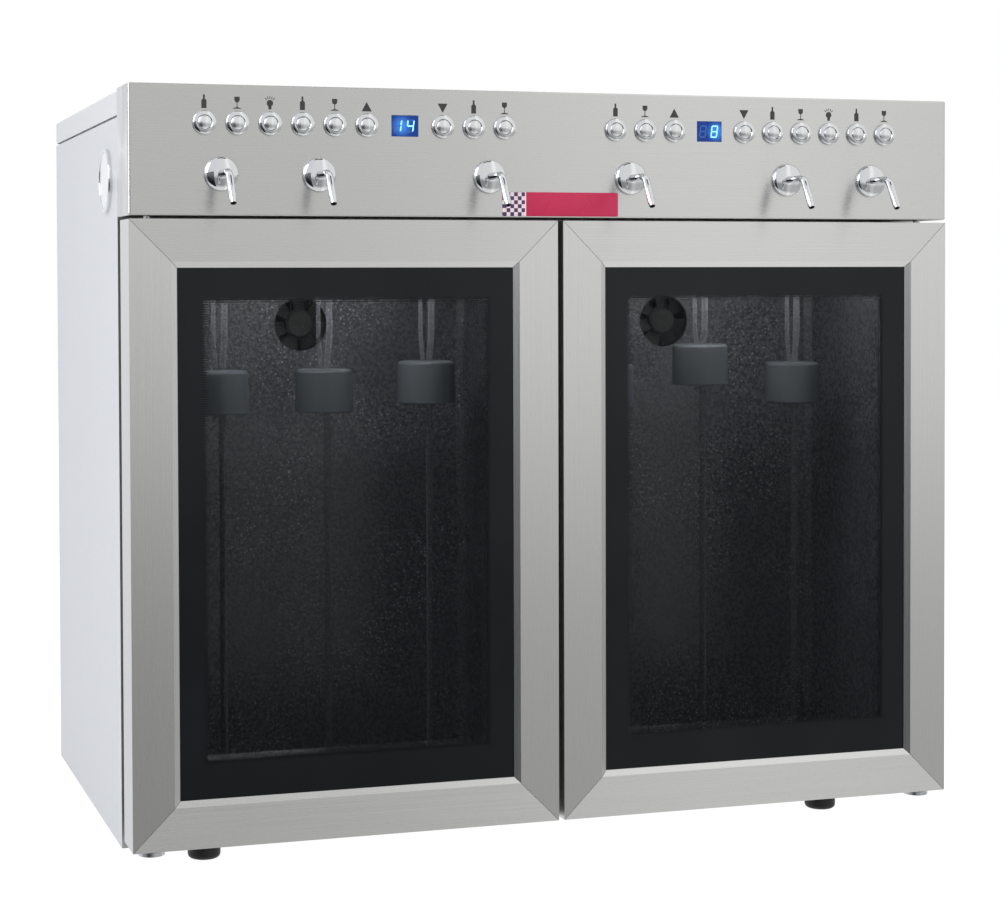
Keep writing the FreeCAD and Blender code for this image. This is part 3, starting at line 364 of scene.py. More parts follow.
def printedBoard(name, track=6 * mm):
    # glass-epoxy board: green solder mask with a faint grid of tracks, coarser than real ones of 1 mm
    material, tree, shader, place = newMaterial(name, {"Metallic": 0.0, "IOR": 1.55})
    tracks = addNode(tree, "TexBrick", {0: place, "Scale": 1 / track, "Mortar Size": 0.08}).outputs["Fac"]
    wire(tree, shader, {
        "Base Color": addNode(tree, "Mix", {0: tracks, 6: "#1E5B36", 7: "#2F7A4A"}, data_type="RGBA"),
        "Roughness": addNode(tree, "MapRange", {0: tracks, 3: 0.3, 4: 0.4})})
    return material


leftBox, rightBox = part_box("door_frame_left"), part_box("door_frame_right")
# painted light: one brushed 304 steel in slightly different tones, the doors a shade lighter than the
# fascia and the face frame, to match how each is lit
fasciaSteel = brushedSteel("brushedStainlessFascia", "#D1D1D0", "#CACAC9", 0.27)
frameSteel = brushedSteel("brushedStainlessFaceFrame", "#D2D2D0", "#C8C8C6", 0.31)
leftDoorSteel = brushedSteel("brushedStainlessLeftDoor", "#D6D6D5", "#CFCFCE", 0.28, leftBox)
rightDoorSteel = brushedSteel("brushedStainlessRightDoor", "#D6D6D5", "#CFCFCE", 0.28, rightBox)
sideEnamel = satinEnamel("powderCoatedSteelSides", "#CDCFD3", "#C8CACE")
lidEnamel = satinEnamel("powderCoatedSteelLid", "#D4D5D8", "#CFD0D3")
chrome = platedChrome("chromePlatedBrass", 0.06, "#D6D8DB", "#E0E1E2")
satinChrome = platedChrome("satinChromePlungers", 0.26, "#DEDFE1", "#E8E9EA")
linerLacquer = stuccoLiner("stuccoAluminiumBlack")
zincSheet = spangledZinc("galvanisedSteel")
aluminium = millAluminium("extrudedAluminium")
bracketSteel = millAluminium("zincPlatedBracket", 0.3)
blackFins = millAluminium("blackAnodisedAluminium", 0.5, "#1A1B1D", "#26272A")
gasketRubber = speckledPlastic("extrudedPvcGasket", "#232527", "#2E3033", 0.6)
footRubber = speckledPlastic("mouldedNitrileRubber", "#0C0C0D", "#171718", 0.55)
capSilicone = speckledPlastic("mouldedSiliconeRubber", "#41474C", "#4D5358", 0.62, 1.6 * mm, 0.08, 1.41)
blackNylon = speckledPlastic("mouldedBlackNylon", "#141516", "#202123", 0.5)
fanPlastic = speckledPlastic("mouldedPbtFan", "#0B0C0D", "#121314", 0.8)
paleAbs = speckledPlastic("mouldedPaleAbs", "#DCDEE0", "#E6E8EA", 0.36, 2.0 * mm, 0.05)
whiteAbs = speckledPlastic("mouldedWhiteAbs", "#CFCFCB", "#DCDCD8", 0.4)
foam = speckledPlastic("pouredPolyurethaneFoam", "#C9B98C", "#DCCDA2", 0.9, 2.4 * mm, 0.5)
printInk = speckledPlastic("screenPrintedInk", "#2C2D2E", "#373839", 0.5, 0.8 * mm, 0.05)
windowBlue = tintedWindow("tintedAcrylicWindow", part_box("display_windows"))
dimSegment = speckledPlastic("polycarbonateLightPipe", "#2C55A8", "#3A66B8", 0.3)
litSegment = litLightPipe("litPolycarbonateLightPipe", "#62C6F8", "#A6E4FF", 1.1)
plateEnamel = enamelPlate("vitreousEnamelPlate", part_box("name_plate"))
vinyl = clearVinyl("softPvcTube")
board = printedBoard("glassEpoxyBoard")
leftGlass = tintedGlass("tintedGlassLeft", "door_glass_left", leftBox)
rightGlass = tintedGlass("tintedGlassRight", "door_glass_right", rightBox)
print("materials made:", len(bpy.data.materials))


finishes = {                 # of the nodes that keep their machined shape
    "control_panel": fasciaSteel,
    "front_frame": frameSteel,
    "door_frame_left": leftDoorSteel,
    "door_frame_right": rightDoorSteel,
    "door_glass_left": leftGlass,
    "door_glass_right": rightGlass,
    "side_panel_left": sideEnamel,
    "side_panel_right": sideEnamel,
    "top_cover": lidEnamel,
    "rear_panel": zincSheet,
    "base_pan": zincSheet,
    "bay_liners": linerLacquer,
    "insulation": foam,
    "door_gasket_left": gasketRubber,
    "door_gasket_right": gasketRubber,
    "glazing_spacer_left": aluminium,
    "glazing_spacer_right": aluminium,
    "hinge_brackets": bracketSteel,
    "control_board": board,
    "display_windows": windowBlue,
    "tap_valves": whiteAbs,
    "ceiling_grommets": blackNylon,
    "fan_housings": fanPlastic,
    "fan_rotor_left": fanPlastic,
    "fan_rotor_right": fanPlastic,
    "cooling_blocks": blackFins,
    "bay_lamps": whiteAbs,
    "power_supply": zincSheet,
    "gas_manifold": aluminium,
    "rear_inlets": blackNylon,
}
for nodeName, finish in finishes.items():
    mesh = nodes[nodeName].data
    mesh.materials.clear()
    mesh.materials.append(finish)
print("finishes given:", len(finishes))


def arc(centre, radius, start, end, steps, squeeze=1.0):
    # points of a round stretch of a profile or outline, angles in degrees
    turns = [math.radians(start + (end - start) * k / steps) for k in range(steps + 1)]
    return [(centre[0] + radius * math.cos(t), centre[1] + radius * squeeze * math.sin(t)) for t in turns]


def skin(bm, rings):
    # faces between each closed ring of points and the next; a ring of one point is a tip
    for a, b in zip(rings, rings[1:]):
        count = max(len(a), len(b))
        for k in range(count):
            n = (k + 1) % count
            corners = [a[k % len(a)], a[n % len(a)], b[n % len(b)], b[k % len(b)]]
            bm.faces.new(list(dict.fromkeys(corners)))


def ringPoints(bm, centre, side, other, radius, count):
    turns = [2 * math.pi * k / count for k in range(count)]
    return [bm.verts.new(centre + (side * math.cos(t) + other * math.sin(t)) * radius) for t in turns]


def lathe(bm, profile, centre, axis, steps, closed=False):
    # turns (radius, distance) points round an axis; a point on the axis itself is one vertex
    centre, axis = Vector(centre), Vector(axis)
    side = axis.orthogonal().normalized()
    other = axis.cross(side)
    rings = []
    for radius, along in profile:
        count = steps if radius > 1e-6 else 1
        rings.append(ringPoints(bm, centre + axis * along, side, other, radius, count))
    skin(bm, rings + rings[:1] if closed else rings)


def tube(bm, path, radii, steps):
    # a skin along a path of points, with a radius at each; the ends stay open
    rings = []
    side = None
    for k, point in enumerate(path):
        ahead = (path[min(k + 1, len(path) - 1)] - path[max(k - 1, 0)]).normalized()
        side = ahead.orthogonal() if side is None else side - ahead * side.dot(ahead)
        side.normalize()
        rings.append(ringPoints(bm, point, side, ahead.cross(side), radii[k], steps))
    skin(bm, rings)
    return rings


def slab(bm, outline, face, thickness):
    # a thin flat shape standing on a front face: outline in x and z, pushed towards the viewer
    back = [bm.verts.new((x, face, z)) for x, z in outline]
    front = [bm.verts.new((x, face - thickness, z)) for x, z in outline]
    bm.faces.new(front)
    bm.faces.new(back[::-1])
    skin(bm, [front, back])


sharpFrom = math.radians(38)         # flatter edges are shaded round


def addPiece(name, bm, material, body, hides=()):
    bmesh.ops.recalc_face_normals(bm, faces=bm.faces)
    for edge in bm.edges:
        edge.smooth = len(edge.link_faces) != 2 or edge.calc_face_angle() < sharpFrom
    mesh = bpy.data.meshes.new(name)
    bm.to_mesh(mesh)
    bm.free()
    mesh.materials.append(material)
    for face in mesh.polygons:
        face.use_smooth = True
    piece = bpy.data.objects.new(name, mesh)
    scene.collection.objects.link(piece)
    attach(piece, body)
    if hides:
        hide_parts(*hides)


def nodePoints(node):
    return [v.co.copy() for v in nodes[node].data.vertices]


def apart(points, axis, gap=4 * mm):
    # points in groups, told apart along one axis wherever it is empty for more than the gap
    found = []
    for point in sorted(points, key=lambda p: p[axis]):
        if not found or point[axis] - found[-1][-1][axis] > gap:
            found.append([])
        found[-1].append(point)
    return found


def boxOf(points):
    return Vector(map(min, *points)), Vector(map(max, *points))


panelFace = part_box("control_panel")[0].y
towardsViewer = (0, -1, 0)


def onPanel(low, high):
    # the middle of a box, brought to the panel's face
    return Vector(((low.x + high.x) / 2, panelFace, (low.z + high.z) / 2))


button = {                   # with the bezel round it
    "count": 18,
    "bezelInner": 6.1 * mm,
    "bezelOuter": 9.8 * mm,
    "bezelRise": 3.4 * mm,
    "lip": (0.35 * mm, 0.3 * mm),        # width and depth of the bezel's chamfer, next to the plunger
    "slope": (4, 28),        # degrees the ring's face leans outwards, from its crown to its rounded edge
    "edge": 0.9 * mm,
    "neck": 7.9 * mm,        # the bezel where it passes through the panel
    "plunger": 5.9 * mm,
    "plungerRise": 4.6 * mm,
    "dome": 1.4 * mm,
    "chamfer": (0.3 * mm, 0.4 * mm),     # of the plunger
    "behind": 6 * mm,
}


def bezelProfile():
    # from the inner edge over the crown and down the sloping face to the panel
    start, end = (math.radians(lean) for lean in button["slope"])
    inner = button["bezelInner"] + button["lip"][0]
    outer = button["bezelOuter"] - button["edge"] * (1 - math.sin(end))
    bend = (outer - inner) / (math.sin(end) - math.sin(start))
    bendCentre = (inner - bend * math.sin(start), button["bezelRise"] - bend * math.cos(start))
    face = arc(bendCentre, bend, 90 - button["slope"][0], 90 - button["slope"][1], 12)
    edgeCentre = (outer - button["edge"] * math.sin(end), face[-1][1] - button["edge"] * math.cos(end))
    edge = arc(edgeCentre, button["edge"], 90 - button["slope"][1], 0, 6)
    return ([(button["bezelInner"], button["bezelRise"] - button["lip"][1])] + face + edge[1:]
            + [(button["bezelOuter"], 0), (button["neck"], 0), (button["neck"], -button["behind"]),
               (button["bezelInner"], -button["behind"])])


def plungerProfile():
    # a shallow dome on a straight stem, with a small chamfer between them
    radius, top = button["plunger"] - button["chamfer"][0], button["plungerRise"]
    bend = (radius ** 2 + button["dome"] ** 2) / (2 * button["dome"])
    dome = arc((0, top - bend), bend, 90, 90 - math.degrees(math.asin(radius / bend)), 12)
    return dome + [(button["plunger"], top - button["dome"] - button["chamfer"][1]),
                   (button["plunger"], -button["behind"]), (0, -button["behind"])]


buttonPlaces = [onPanel(*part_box("button_%02d" % number)) for number in range(1, button["count"] + 1)]
bm = bmesh.new()
for place in buttonPlaces:
    lathe(bm, bezelProfile(), place, towardsViewer, 56, closed=True)
addPiece("buttonBezels", bm, chrome, "root", ["button_bezels"])
for number, place in enumerate(buttonPlaces, 1):
    bm = bmesh.new()
    lathe(bm, plungerProfile(), place, towardsViewer, 48)
    addPiece("plunger%02d" % number, bm, satinChrome, "push_button_%02d" % number,
             ["button_%02d" % number])
print("buttons made")


signs = {                    # printed above the buttons
    "order": "bgabgudbgbgudbgabg",   # bottle, glass, lamp, up and down, from left to right
    "lift": 11.6 * mm,               # from the button's middle to the foot of its sign
    "thickness": 0.06 * mm,
}


# outlines are in millimetres from the middle of a sign's foot
def bottleSign():
    body, neck = 2.15, 0.8           # half widths
    right = [(body, 0), (body, 6.3), (body - 0.35, 7.0), (neck, 7.7), (neck, 11.2)]
    return [right + [(-x, z) for x, z in reversed(right)]]


def glassSign():
    bowl = [(-2.3, 9.9), (-2.2, 6.9)] + arc((0, 6.9), 2.0, 200, 340, 7, 0.85) + [(2.2, 6.9), (2.3, 9.9)]
    stem = [(-0.35, 1.1), (0.35, 1.1), (0.35, 5.4), (-0.35, 5.4)]
    foot = [(-3.5, 0), (3.5, 0), (3.3, 0.5), (0.9, 1.2), (-0.9, 1.2), (-3.3, 0.5)]
    return [bowl, stem, foot]


def lampSign():
    middle = (0, 5.1)
    base = [(-1.3, 0.4), (-0.9, 0), (0.9, 0), (1.3, 0.4), (1.3, 2.7), (-1.3, 2.7)]
    rays = []
    for x, z in arc((0, 0), 1, 46, 134, 4):
        along, over = Vector((x, z)), Vector((-z, x)) * 0.32
        near, far = Vector(middle) + along * 3.6, Vector(middle) + along * 5.8
        rays.append([tuple(near - over), tuple(far - over), tuple(far + over), tuple(near + over)])
    return [arc(middle, 2.75, 0, 345, 23), base] + rays


def arrowSign(up):
    return [[(-4.4, 0), (4.4, 0), (0, 7.9)]] if up else [[(0, 0), (4.4, 7.9), (-4.4, 7.9)]]


shapes = {"b": bottleSign(), "g": glassSign(), "a": lampSign(), "u": arrowSign(True), "d": arrowSign(False)}
bm = bmesh.new()
for letter, place in zip(signs["order"], buttonPlaces):
    for outline in shapes[letter]:
        slab(bm, [(place.x + x * mm, place.z + signs["lift"] + z * mm) for x, z in outline],
             panelFace, signs["thickness"])
addPiece("printedSigns", bm, printInk, "root")
print("signs printed")


display = {                  # seven-segment digits on the windows
    "readings": ["14", " 8"],            # degrees Celsius in the left and the right bay
    "digitWidth": 6.4 * mm,
    "digitHeight": 10.8 * mm,
    "stroke": 1.1 * mm,
    "centres": (-6.0 * mm, 4.9 * mm),    # of the two digits, from the window's middle
    "slant": 0.13,           # sideways for each unit of height
    "proud": 0.04 * mm,
}
segmentsOn = {"1": "bc", "4": "bcfg", "8": "abcdefg", " ": ""}


def segmentOutline(key, w, h, t):
    # one of seven bars with pointed ends, about the digit's middle
    x, z, half = w / 2, h / 2, t / 2
    flat = {"a": z - half, "g": 0, "d": -z + half}
    if key in flat:
        c, e = flat[key], x - t * 0.75
        return [(-e - half, c), (-e, c + half), (e, c + half), (e + half, c), (e, c - half), (-e, c - half)]
    side = x - half if key in "bc" else -x + half
    low, high = (t * 0.3, z - t * 0.75) if key in "bf" else (-z + t * 0.75, -t * 0.3)
    return [(side, low - half * 0.2), (side + half, low + half), (side + half, high - half * 0.4),
            (side, high + half), (side - half, high - half * 0.4), (side - half, low + half)]


lit, unlit = bmesh.new(), bmesh.new()
for window, reading in zip(apart(nodePoints("display_windows"), 0, 60 * mm), display["readings"]):
    low, high = boxOf(window)
    middle = (low + high) / 2
    for digit, shift in zip(reading, display["centres"]):
        for key in "abcdefg":
            outline = segmentOutline(key, display["digitWidth"], display["digitHeight"], display["stroke"])
            leaning = [(middle.x + shift + x + z * display["slant"], middle.z + z) for x, z in outline]
            slab(lit if key in segmentsOn[digit] else unlit, leaning, low.y, display["proud"])
addPiece("litSegments", lit, litSegment, "root")
addPiece("unlitSegments", unlit, dimSegment, "root")
print("displays made")


tap = {                      # flange and spout
    "flange": 14.2 * mm,
    "wall": 2.0 * mm,
    "dome": 4.2 * mm,
    "edge": 0.6 * mm,
    "counterbore": (0.35 * mm, 0.5 * mm),      # width and depth, where the pipe enters the flange
    "pipe": 3.1 * mm,
    "root": 2 * mm,          # the pipe starts this far behind the panel's face
    "reach": 47.85 * mm,     # to the middle of the outlet
    "drop": 25.8 * mm,
    "bend": 12 * mm,
    "slant": 30,             # degrees off the plumb line, pouring forward
    "nose": [(3, 3.1), (0.6, 2.65), (0, 2.45)],      # (distance to the mouth, radius) in millimetres
    "bore": 2.1 * mm,
    "boreDepth": 4 * mm,
    # the black rubber nozzle in its mouth, as (radius, depth) in millimetres: its rim is a real part, and
    # its black lining and floor also stand in for the shade deep in the bore
    "nozzle": [(0, 3.5), (2.1, 3.5), (2.1, 0), (2.5, 0), (2.4, -0.35), (1.4, -0.35), (1.4, 2.5), (0, 2.5)],
}
tapPlaces = [onPanel(*boxOf(points)) for points in apart(nodePoints("tap_flanges"), 0)]


def flangeProfile():
    # a domed disc: from the pipe's hole over the crown to its edge on the panel
    dome = arc((0, tap["wall"]), tap["flange"], 90, 0, 24, tap["dome"] / tap["flange"])
    dome = [(radius, height) for radius, height in dome if radius > tap["pipe"]]
    hole, rim = tap["pipe"], dome[0][1]
    width, depth = tap["counterbore"]
    return ([(hole, 0), (hole, rim - depth), (hole + width, rim - depth), (hole + width, rim)] + dome
            + [(tap["flange"], tap["edge"]), (tap["flange"] - tap["edge"], 0)])


def spoutPath(place):
    # level run, bend, and the slanting leg down to the outlet
    turn = math.radians(90 - tap["slant"])
    leg = (tap["drop"] - tap["bend"] * (1 - math.cos(turn))) / math.sin(turn)
    run = tap["reach"] - tap["bend"] * math.sin(turn) - leg * math.cos(turn)
    down = Vector((0, -math.cos(turn), -math.sin(turn)))
    corner = place + Vector((0, -run, -tap["bend"]))
    path = [place + Vector((0, tap["root"], 0))]
    path += [corner + Vector((0, -x, z)) for x, z in arc((0, 0), tap["bend"], 90, tap["slant"], 14)]
    radii = [tap["pipe"]] * len(path)
    knee = path[-1].copy()
    for left, radius in tap["nose"]:
        path.append(knee + down * (leg - left * mm))
        radii.append(radius * mm)
    return path, radii, down


bm = bmesh.new()
for place in tapPlaces:
    lathe(bm, flangeProfile(), place, towardsViewer, 96, closed=True)
addPiece("tapFlanges", bm, chrome, "root", ["tap_flanges"])
bm, tips = bmesh.new(), bmesh.new()
for place in tapPlaces:
    path, radii, down = spoutPath(place)
    mouth = path[-1]
    rim = tube(bm, path, radii, 36)[-1]
    bore = [[bm.verts.new(mouth - down * depth + (v.co - mouth).normalized() * tap["bore"]) for v in rim]
            for depth in (0, tap["boreDepth"])]
    skin(bm, [rim] + bore)
    bm.faces.new(bore[-1][::-1])
    # partly painted shade: the black nozzle's lining and floor stand in for the shade inside the bore
    lathe(tips, [(radius * mm, depth * mm) for radius, depth in tap["nozzle"]], mouth, -down, 32)
addPiece("tapSpouts", bm, chrome, "root", ["tap_spouts"])
addPiece("spoutNozzles", tips, footRubber, "root")
print("taps made")


plate = {"bevel": 0.45 * mm, "corner": 1.6 * mm}


def roundedRectangle(low, high, inset, radius):
    back = inset + radius
    points = []
    for x, z, start in ((high.x - back, high.z - back, 0), (low.x + back, high.z - back, 90),
                        (low.x + back, low.z + back, 180), (high.x - back, low.z + back, 270)):
        points += arc((x, z), radius, start, start + 90, 5)
    return points


low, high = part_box("name_plate")
bevel = plate["bevel"]
bm = bmesh.new()
rings = []
for inset, y in ((0, high.y), (0, low.y + bevel), (bevel * 0.3, low.y + bevel * 0.3), (bevel, low.y)):
    outline = roundedRectangle(low, high, inset, plate["corner"] - inset * 0.6)
    rings.append([bm.verts.new((x, y, z)) for x, z in outline])
skin(bm, rings)
bm.faces.new(rings[-1])
bm.faces.new(rings[0][::-1])
addPiece("namePlate", bm, plateEnamel, "root", ["name_plate"])


port = {                     # round cap in the left side
    "rim": 2.4 * mm,
    "dish": 0.9 * mm,        # how far the face lies under the rim
    "overlap": 0.2 * mm,     # the face runs this far under the rim
    "fall": [(0.7, 0), (0.92, 0.15), (1, 0.5)],      # share of the face's radius, and mm it has fallen
    "behind": 6 * mm,
}
outwards = (-1, 0, 0)
low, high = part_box("port_cap")
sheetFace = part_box("side_panel_left")[0].x
centre = (sheetFace, (low.y + high.y) / 2, (low.z + high.z) / 2)
radius, proud, bead = (high.z - low.z) / 2, sheetFace - low.x, port["rim"] / 2
bm = bmesh.new()
rimTop = arc((radius - bead, proud - bead), bead, 180, 0, 12)
lathe(bm, [(radius - port["rim"], 0)] + rimTop + [(radius, 0)], centre, outwards, 96, closed=True)
addPiece("portRim", bm, chrome, "root")
bm = bmesh.new()
edge, level = radius - port["rim"] + port["overlap"], proud - port["dish"]
face = [(0, level)] + [(edge * share, level - fallen * mm) for share, fallen in port["fall"]]
lathe(bm, face + [(edge, -port["behind"]), (0, -port["behind"])], centre, outwards, 96)
addPiece("portFace", bm, paleAbs, "root", ["port_cap"])
print("plate and port made")


foot = {
    "edge": 4 * mm,          # radius of the sole's rounded edge
    "hollow": (0.5, 0.56, 0.6 * mm),     # in the sole: floor and rim as shares of the radius, depth
    "shoulder": (0.4 * mm, 1.2 * mm),    # width and depth of the chamfer under the pan
}
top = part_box("base_pan")[0].z
bm = bmesh.new()
for row in apart(nodePoints("feet"), 0):
    for points in apart(row, 1, 20 * mm):
        low, high = boxOf(points)
        front = round(low.y / mm) * mm       # to the nearest millimetre
        r, edge = (high.x - low.x) / 2, foot["edge"]
        floor, brim, depth = foot["hollow"]
        profile = [(0, depth), (r * floor, depth), (r * brim, 0), (r - edge, 0)]
        profile += arc((r - edge, edge), edge, -80, 0, 7)
        profile += [(r, top - foot["shoulder"][1]), (r - foot["shoulder"][0], top), (0, top)]
        lathe(bm, profile, ((low.x + high.x) / 2, front + r, 0), (0, 0, 1), 56)
addPiece("rubberFeet", bm, footRubber, "root", ["feet"])
print("feet made")


stopper = {                  # cap with a gas tube and a wine tube
    "count": 6,
    # the bung and the groove round it for the bottle's lip, as (radius, height) in millimetres
    "hollow": [(0, 2), (8.6, 2), (9.8, 22), (15, 22), (15, 0.5), (15.6, 0)],
    "chamfer": 1.0 * mm,
    "rounding": 3.5 * mm,
    "flare": 0.6 * mm,       # the cap is this much narrower at the top
    "wallOnly": 12 * mm,     # further from the middle than this a node's points are the cap's own
    "gasTube": 2.0 * mm,
    "wineTube": 3.0 * mm,
    "gasTubeEnd": 4 * mm,    # under the cap's rim
    "tubeShift": 5.0 * mm,
    "pinch": 2.8 * mm,       # the tubes stand closer where they enter the cap
    "pinchDepth": 2 * mm,
    "pinchRise": 34 * mm,
    "lift": 70 * mm,         # the bend has to stay under the ceiling when the cap is pulled up
}


def capProfile(radius, tall):
    # from the bung's foot through the groove, up the outer wall and over to the middle
    edge, chamfer, flare = stopper["rounding"], stopper["chamfer"], stopper["flare"]
    hollow = [(x * mm, z * mm) for x, z in stopper["hollow"]]
    wall = [(radius - chamfer, 0), (radius, chamfer), (radius - flare * 0.4, tall * 0.5)]
    return hollow + wall + arc((radius - flare - edge, tall - edge), edge, 0, 90, 8) + [(0, tall)]


def tubePath(holeX, waistX, y, low, pinch, swing, high):
    # rises from low, keeps to the waist up to the pinch, then swings out to its ceiling hole
    path = [(waistX, low), (waistX, pinch)]
    for k in range(1, 7):
        share = k / 6
        ease = share * share * (3 - 2 * share)
        path.append((waistX + (holeX - waistX) * ease, pinch + swing * share))
    return [Vector((x, y, z)) for x, z in path + [(holeX, high)]]


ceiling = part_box("ceiling_grommets")[0].z - mm       # with a millimetre to spare
for number in range(1, stopper["count"] + 1):
    node, body = "stopper_%d" % number, "bottle_stopper_%d" % number
    low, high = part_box(node)
    middle = (low + high) / 2
    heights = [p.z for p in nodePoints(node) if abs(p.x - middle.x) > stopper["wallOnly"]]
    base, capTop = min(heights), max(heights)
    bm = bmesh.new()
    lathe(bm, capProfile((high.x - low.x) / 2, capTop - base), (middle.x, middle.y, base), (0, 0, 1), 72)
    addPiece("stopperCap%d" % number, bm, capSilicone, body, [node])
    pinch = capTop - stopper["pinchDepth"]
    swing = min(stopper["pinchRise"], ceiling - stopper["lift"] - pinch)
    for label, way, bottom in (("gasTube", -1, base - stopper["gasTubeEnd"]), ("wineTube", 1, low.z)):
        holeX, waistX = middle.x + way * stopper["tubeShift"], middle.x + way * stopper["pinch"]
        path = tubePath(holeX, waistX, middle.y, bottom, pinch, swing, high.z)
        bm = bmesh.new()
        rings = tube(bm, path, [stopper[label]] * len(path), 20)
        bm.faces.new(rings[0][::-1])
        bm.faces.new(rings[-1])
        addPiece("%s%d" % (label, number), bm, vinyl, body)
print("stoppers made")


screw = {                    # holds the rear panel
    "head": 3.4 * mm,
    "rise": 1.6 * mm,
    "rounding": 1.1 * mm,
    "recess": (1.5 * mm, 0.9 * mm),      # radius of the drive's recess, and how high its floor lies
    "inset": 11 * mm,
}
low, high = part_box("rear_panel")
r, rise, edge = screw["head"], screw["rise"], screw["rounding"]
recess, floor = screw["recess"]
head = [(0, floor), (recess, floor), (recess, rise)]
head += arc((r - edge, rise - edge), edge, 90, 0, 5) + [(r, 0), (0, 0)]
bm = bmesh.new()
for x in (low.x + screw["inset"], (low.x + high.x) / 2, high.x - screw["inset"]):
    for z in (low.z + screw["inset"] * 2, (low.z + high.z) / 2, high.z - screw["inset"]):
        lathe(bm, head, (x, high.y, z), (0, 1, 0), 24)
addPiece("rearScrews", bm, bracketSteel, "root")
print("screws made")


studio = {
    "floor": 12.0,           # metres across
    "floorTone": ("#E9E9E8", "#F0F0EF"),
    "grain": 25 * mm,
    "floorShade": 0.8,       # how far the floor is lifted to white where the camera sees it
    "lifted": 1.2,           # strength of that white
    "backdrop": 1.05,        # what metal sees behind it
    "ambient": 0.62,
}
skyRamps = {                 # along an axis of the direction looked in: from, to, and the level at each
    "wallRise": ("X", 0.27, 0.41, 0.885, 1.15),      # what metal sees in front of it, from left to right
    "wallFall": ("X", 0.44, 0.56, 1.0, 0.82),
    "underSight": ("Z", 0.02, -0.18, 0.0, 1.0),
    "overFeet": ("Z", -0.7, -0.42, 0.0, 1.0),
    "floorDip": ("X", 0.1, 0.5, 0.37, 0.57),         # the share of that which is left low down
    "behind": ("Y", -0.1, 0.3, 0.0, 1.0),            # from the wall to the backdrop
    "coolSide": ("X", 0.1, -0.2, 0.0, 1.0),          # slightly bluer light from the left
}
lamps = {                    # place, what it is aimed at, width and height, watts, whether metal mirrors it
    "keyLeft": ((-2.0, -1.2, 1.5), (0, 0, 0.3), (1.5, 1.5), 28, True),
    "fillRight": ((1.9, -2.0, 1.4), (0, 0, 0.3), (1.6, 1.6), 16, False),
    "topSoft": ((0.1, 0.1, 2.4), (0, 0, 0), (1.8, 1.4), 14, False),
}
bayLight = {                 # a strip across each bay, just under its lamp
    "aim": (0, 0.06, -0.1),
    "width": 0.8,            # share of the glass's width
    "depth": 12 * mm,
    "watts": 0.54,
}
cards = {                    # middle, width, height, the way it faces, tones at the floor and at its top
    "cardBesideLens": ((-1.45, -1.95, -0.15), 1.85, 1.9, (0, 1, 0), ("#303032", "#808082")),
    "cardOverhead": ((0.15, -1.0, 2.5), 1.1, 0.7, (0, 0, -1), ("#3A3A3C", "#3A3A3C")),
}
lens = {                     # it stands left of the middle, a little below the fascia
    "place": (-0.66304, -1.93149, 0.48489),
    "yaw": 16.6764,          # degrees
    "pitch": -1.406,
    "roll": -0.231,
    "focal": 77.315,
    "sensor": 36.0,
    "shift": (0.1004, -0.1107),
}


def addProp(name, bm, material):
    # something that isn't part of the object
    mesh = bpy.data.meshes.new(name)
    bm.to_mesh(mesh)
    bm.free()
    mesh.materials.append(material)
    prop = bpy.data.objects.new(name, mesh)
    scene.collection.objects.link(prop)
    return prop


def seenDirectly(tree):
    # 1 for what the camera sees, straight or through glass
    path = addNode(tree, "LightPath").outputs
    return addNode(tree, "Math", {0: path["Is Camera Ray"], 1: path["Is Transmission Ray"]},
                   operation="MAXIMUM")


def makeFloor():
    bm = bmesh.new()
    bmesh.ops.create_grid(bm, x_segments=1, y_segments=1, size=studio["floor"] / 2)
    material, tree, shader, place = newMaterial("matteFloor", {"Roughness": 0.9})
    grain = addNode(tree, "TexNoise", {0: place, "Scale": 1 / studio["grain"]})
    dark, light = studio["floorTone"]
    tone = addNode(tree, "Mix", {0: grain, 6: dark, 7: light}, data_type="RGBA")
    wire(tree, shader, {"Base Color": tone})
    share = addNode(tree, "Math", {0: seenDirectly(tree), 1: studio["floorShade"]}, operation="MULTIPLY")
    white = addNode(tree, "Emission", {"Color": "#FFFFFF", "Strength": studio["lifted"]})
    both = addNode(tree, "MixShader", {0: share, 1: shader, 2: white})
    wire(tree, tree.nodes["Material Output"], {0: both})
    floor = addProp("studioFloor", bm, material)
    floor.visible_glossy = False         # the world below stands for the table in every mirror


def makeWorld():
    world = bpy.data.worlds.new("softStudio")
    scene.world = world
    world.use_nodes = True
    tree = world.node_tree
    tree.nodes.clear()
    way = addNode(tree, "SeparateXYZ", {0: addNode(tree, "TexCoord")}).outputs
    ramps = {}
    for name, (axis, start, end, low, high) in skyRamps.items():
        ramps[name] = addNode(tree, "MapRange", {0: way[axis], 1: start, 2: end, 3: low, 4: high},
                              interpolation_type="SMOOTHSTEP")
    wall = addNode(tree, "Math", {0: ramps["wallRise"], 1: ramps["wallFall"]}, operation="MULTIPLY")
    below = addNode(tree, "Math", {0: ramps["underSight"], 1: ramps["overFeet"]}, operation="MULTIPLY")
    dip = addNode(tree, "Mix", {0: below, 2: 1.0, 3: ramps["floorDip"]})
    level = addNode(tree, "Math", {0: wall, 1: dip}, operation="MULTIPLY")
    level = addNode(tree, "Mix", {0: ramps["behind"], 2: level, 3: studio["backdrop"]})
    seen = seenDirectly(tree)
    mirrored = addNode(tree, "LightPath").outputs["Is Glossy Ray"]
    soft = addNode(tree, "Mix", {0: mirrored, 2: studio["ambient"], 3: level})
    strength = addNode(tree, "Mix", {0: seen, 2: soft, 3: 1.0})
    cool = addNode(tree, "Mix", {0: ramps["coolSide"], 6: "#FFFFFE", 7: "#F9FBFF"}, data_type="RGBA")
    tint = addNode(tree, "Mix", {0: seen, 6: cool, 7: "#FFFFFF"}, data_type="RGBA")
    addNode(tree, "OutputWorld", {0: addNode(tree, "Background", {"Color": tint, "Strength": strength})})


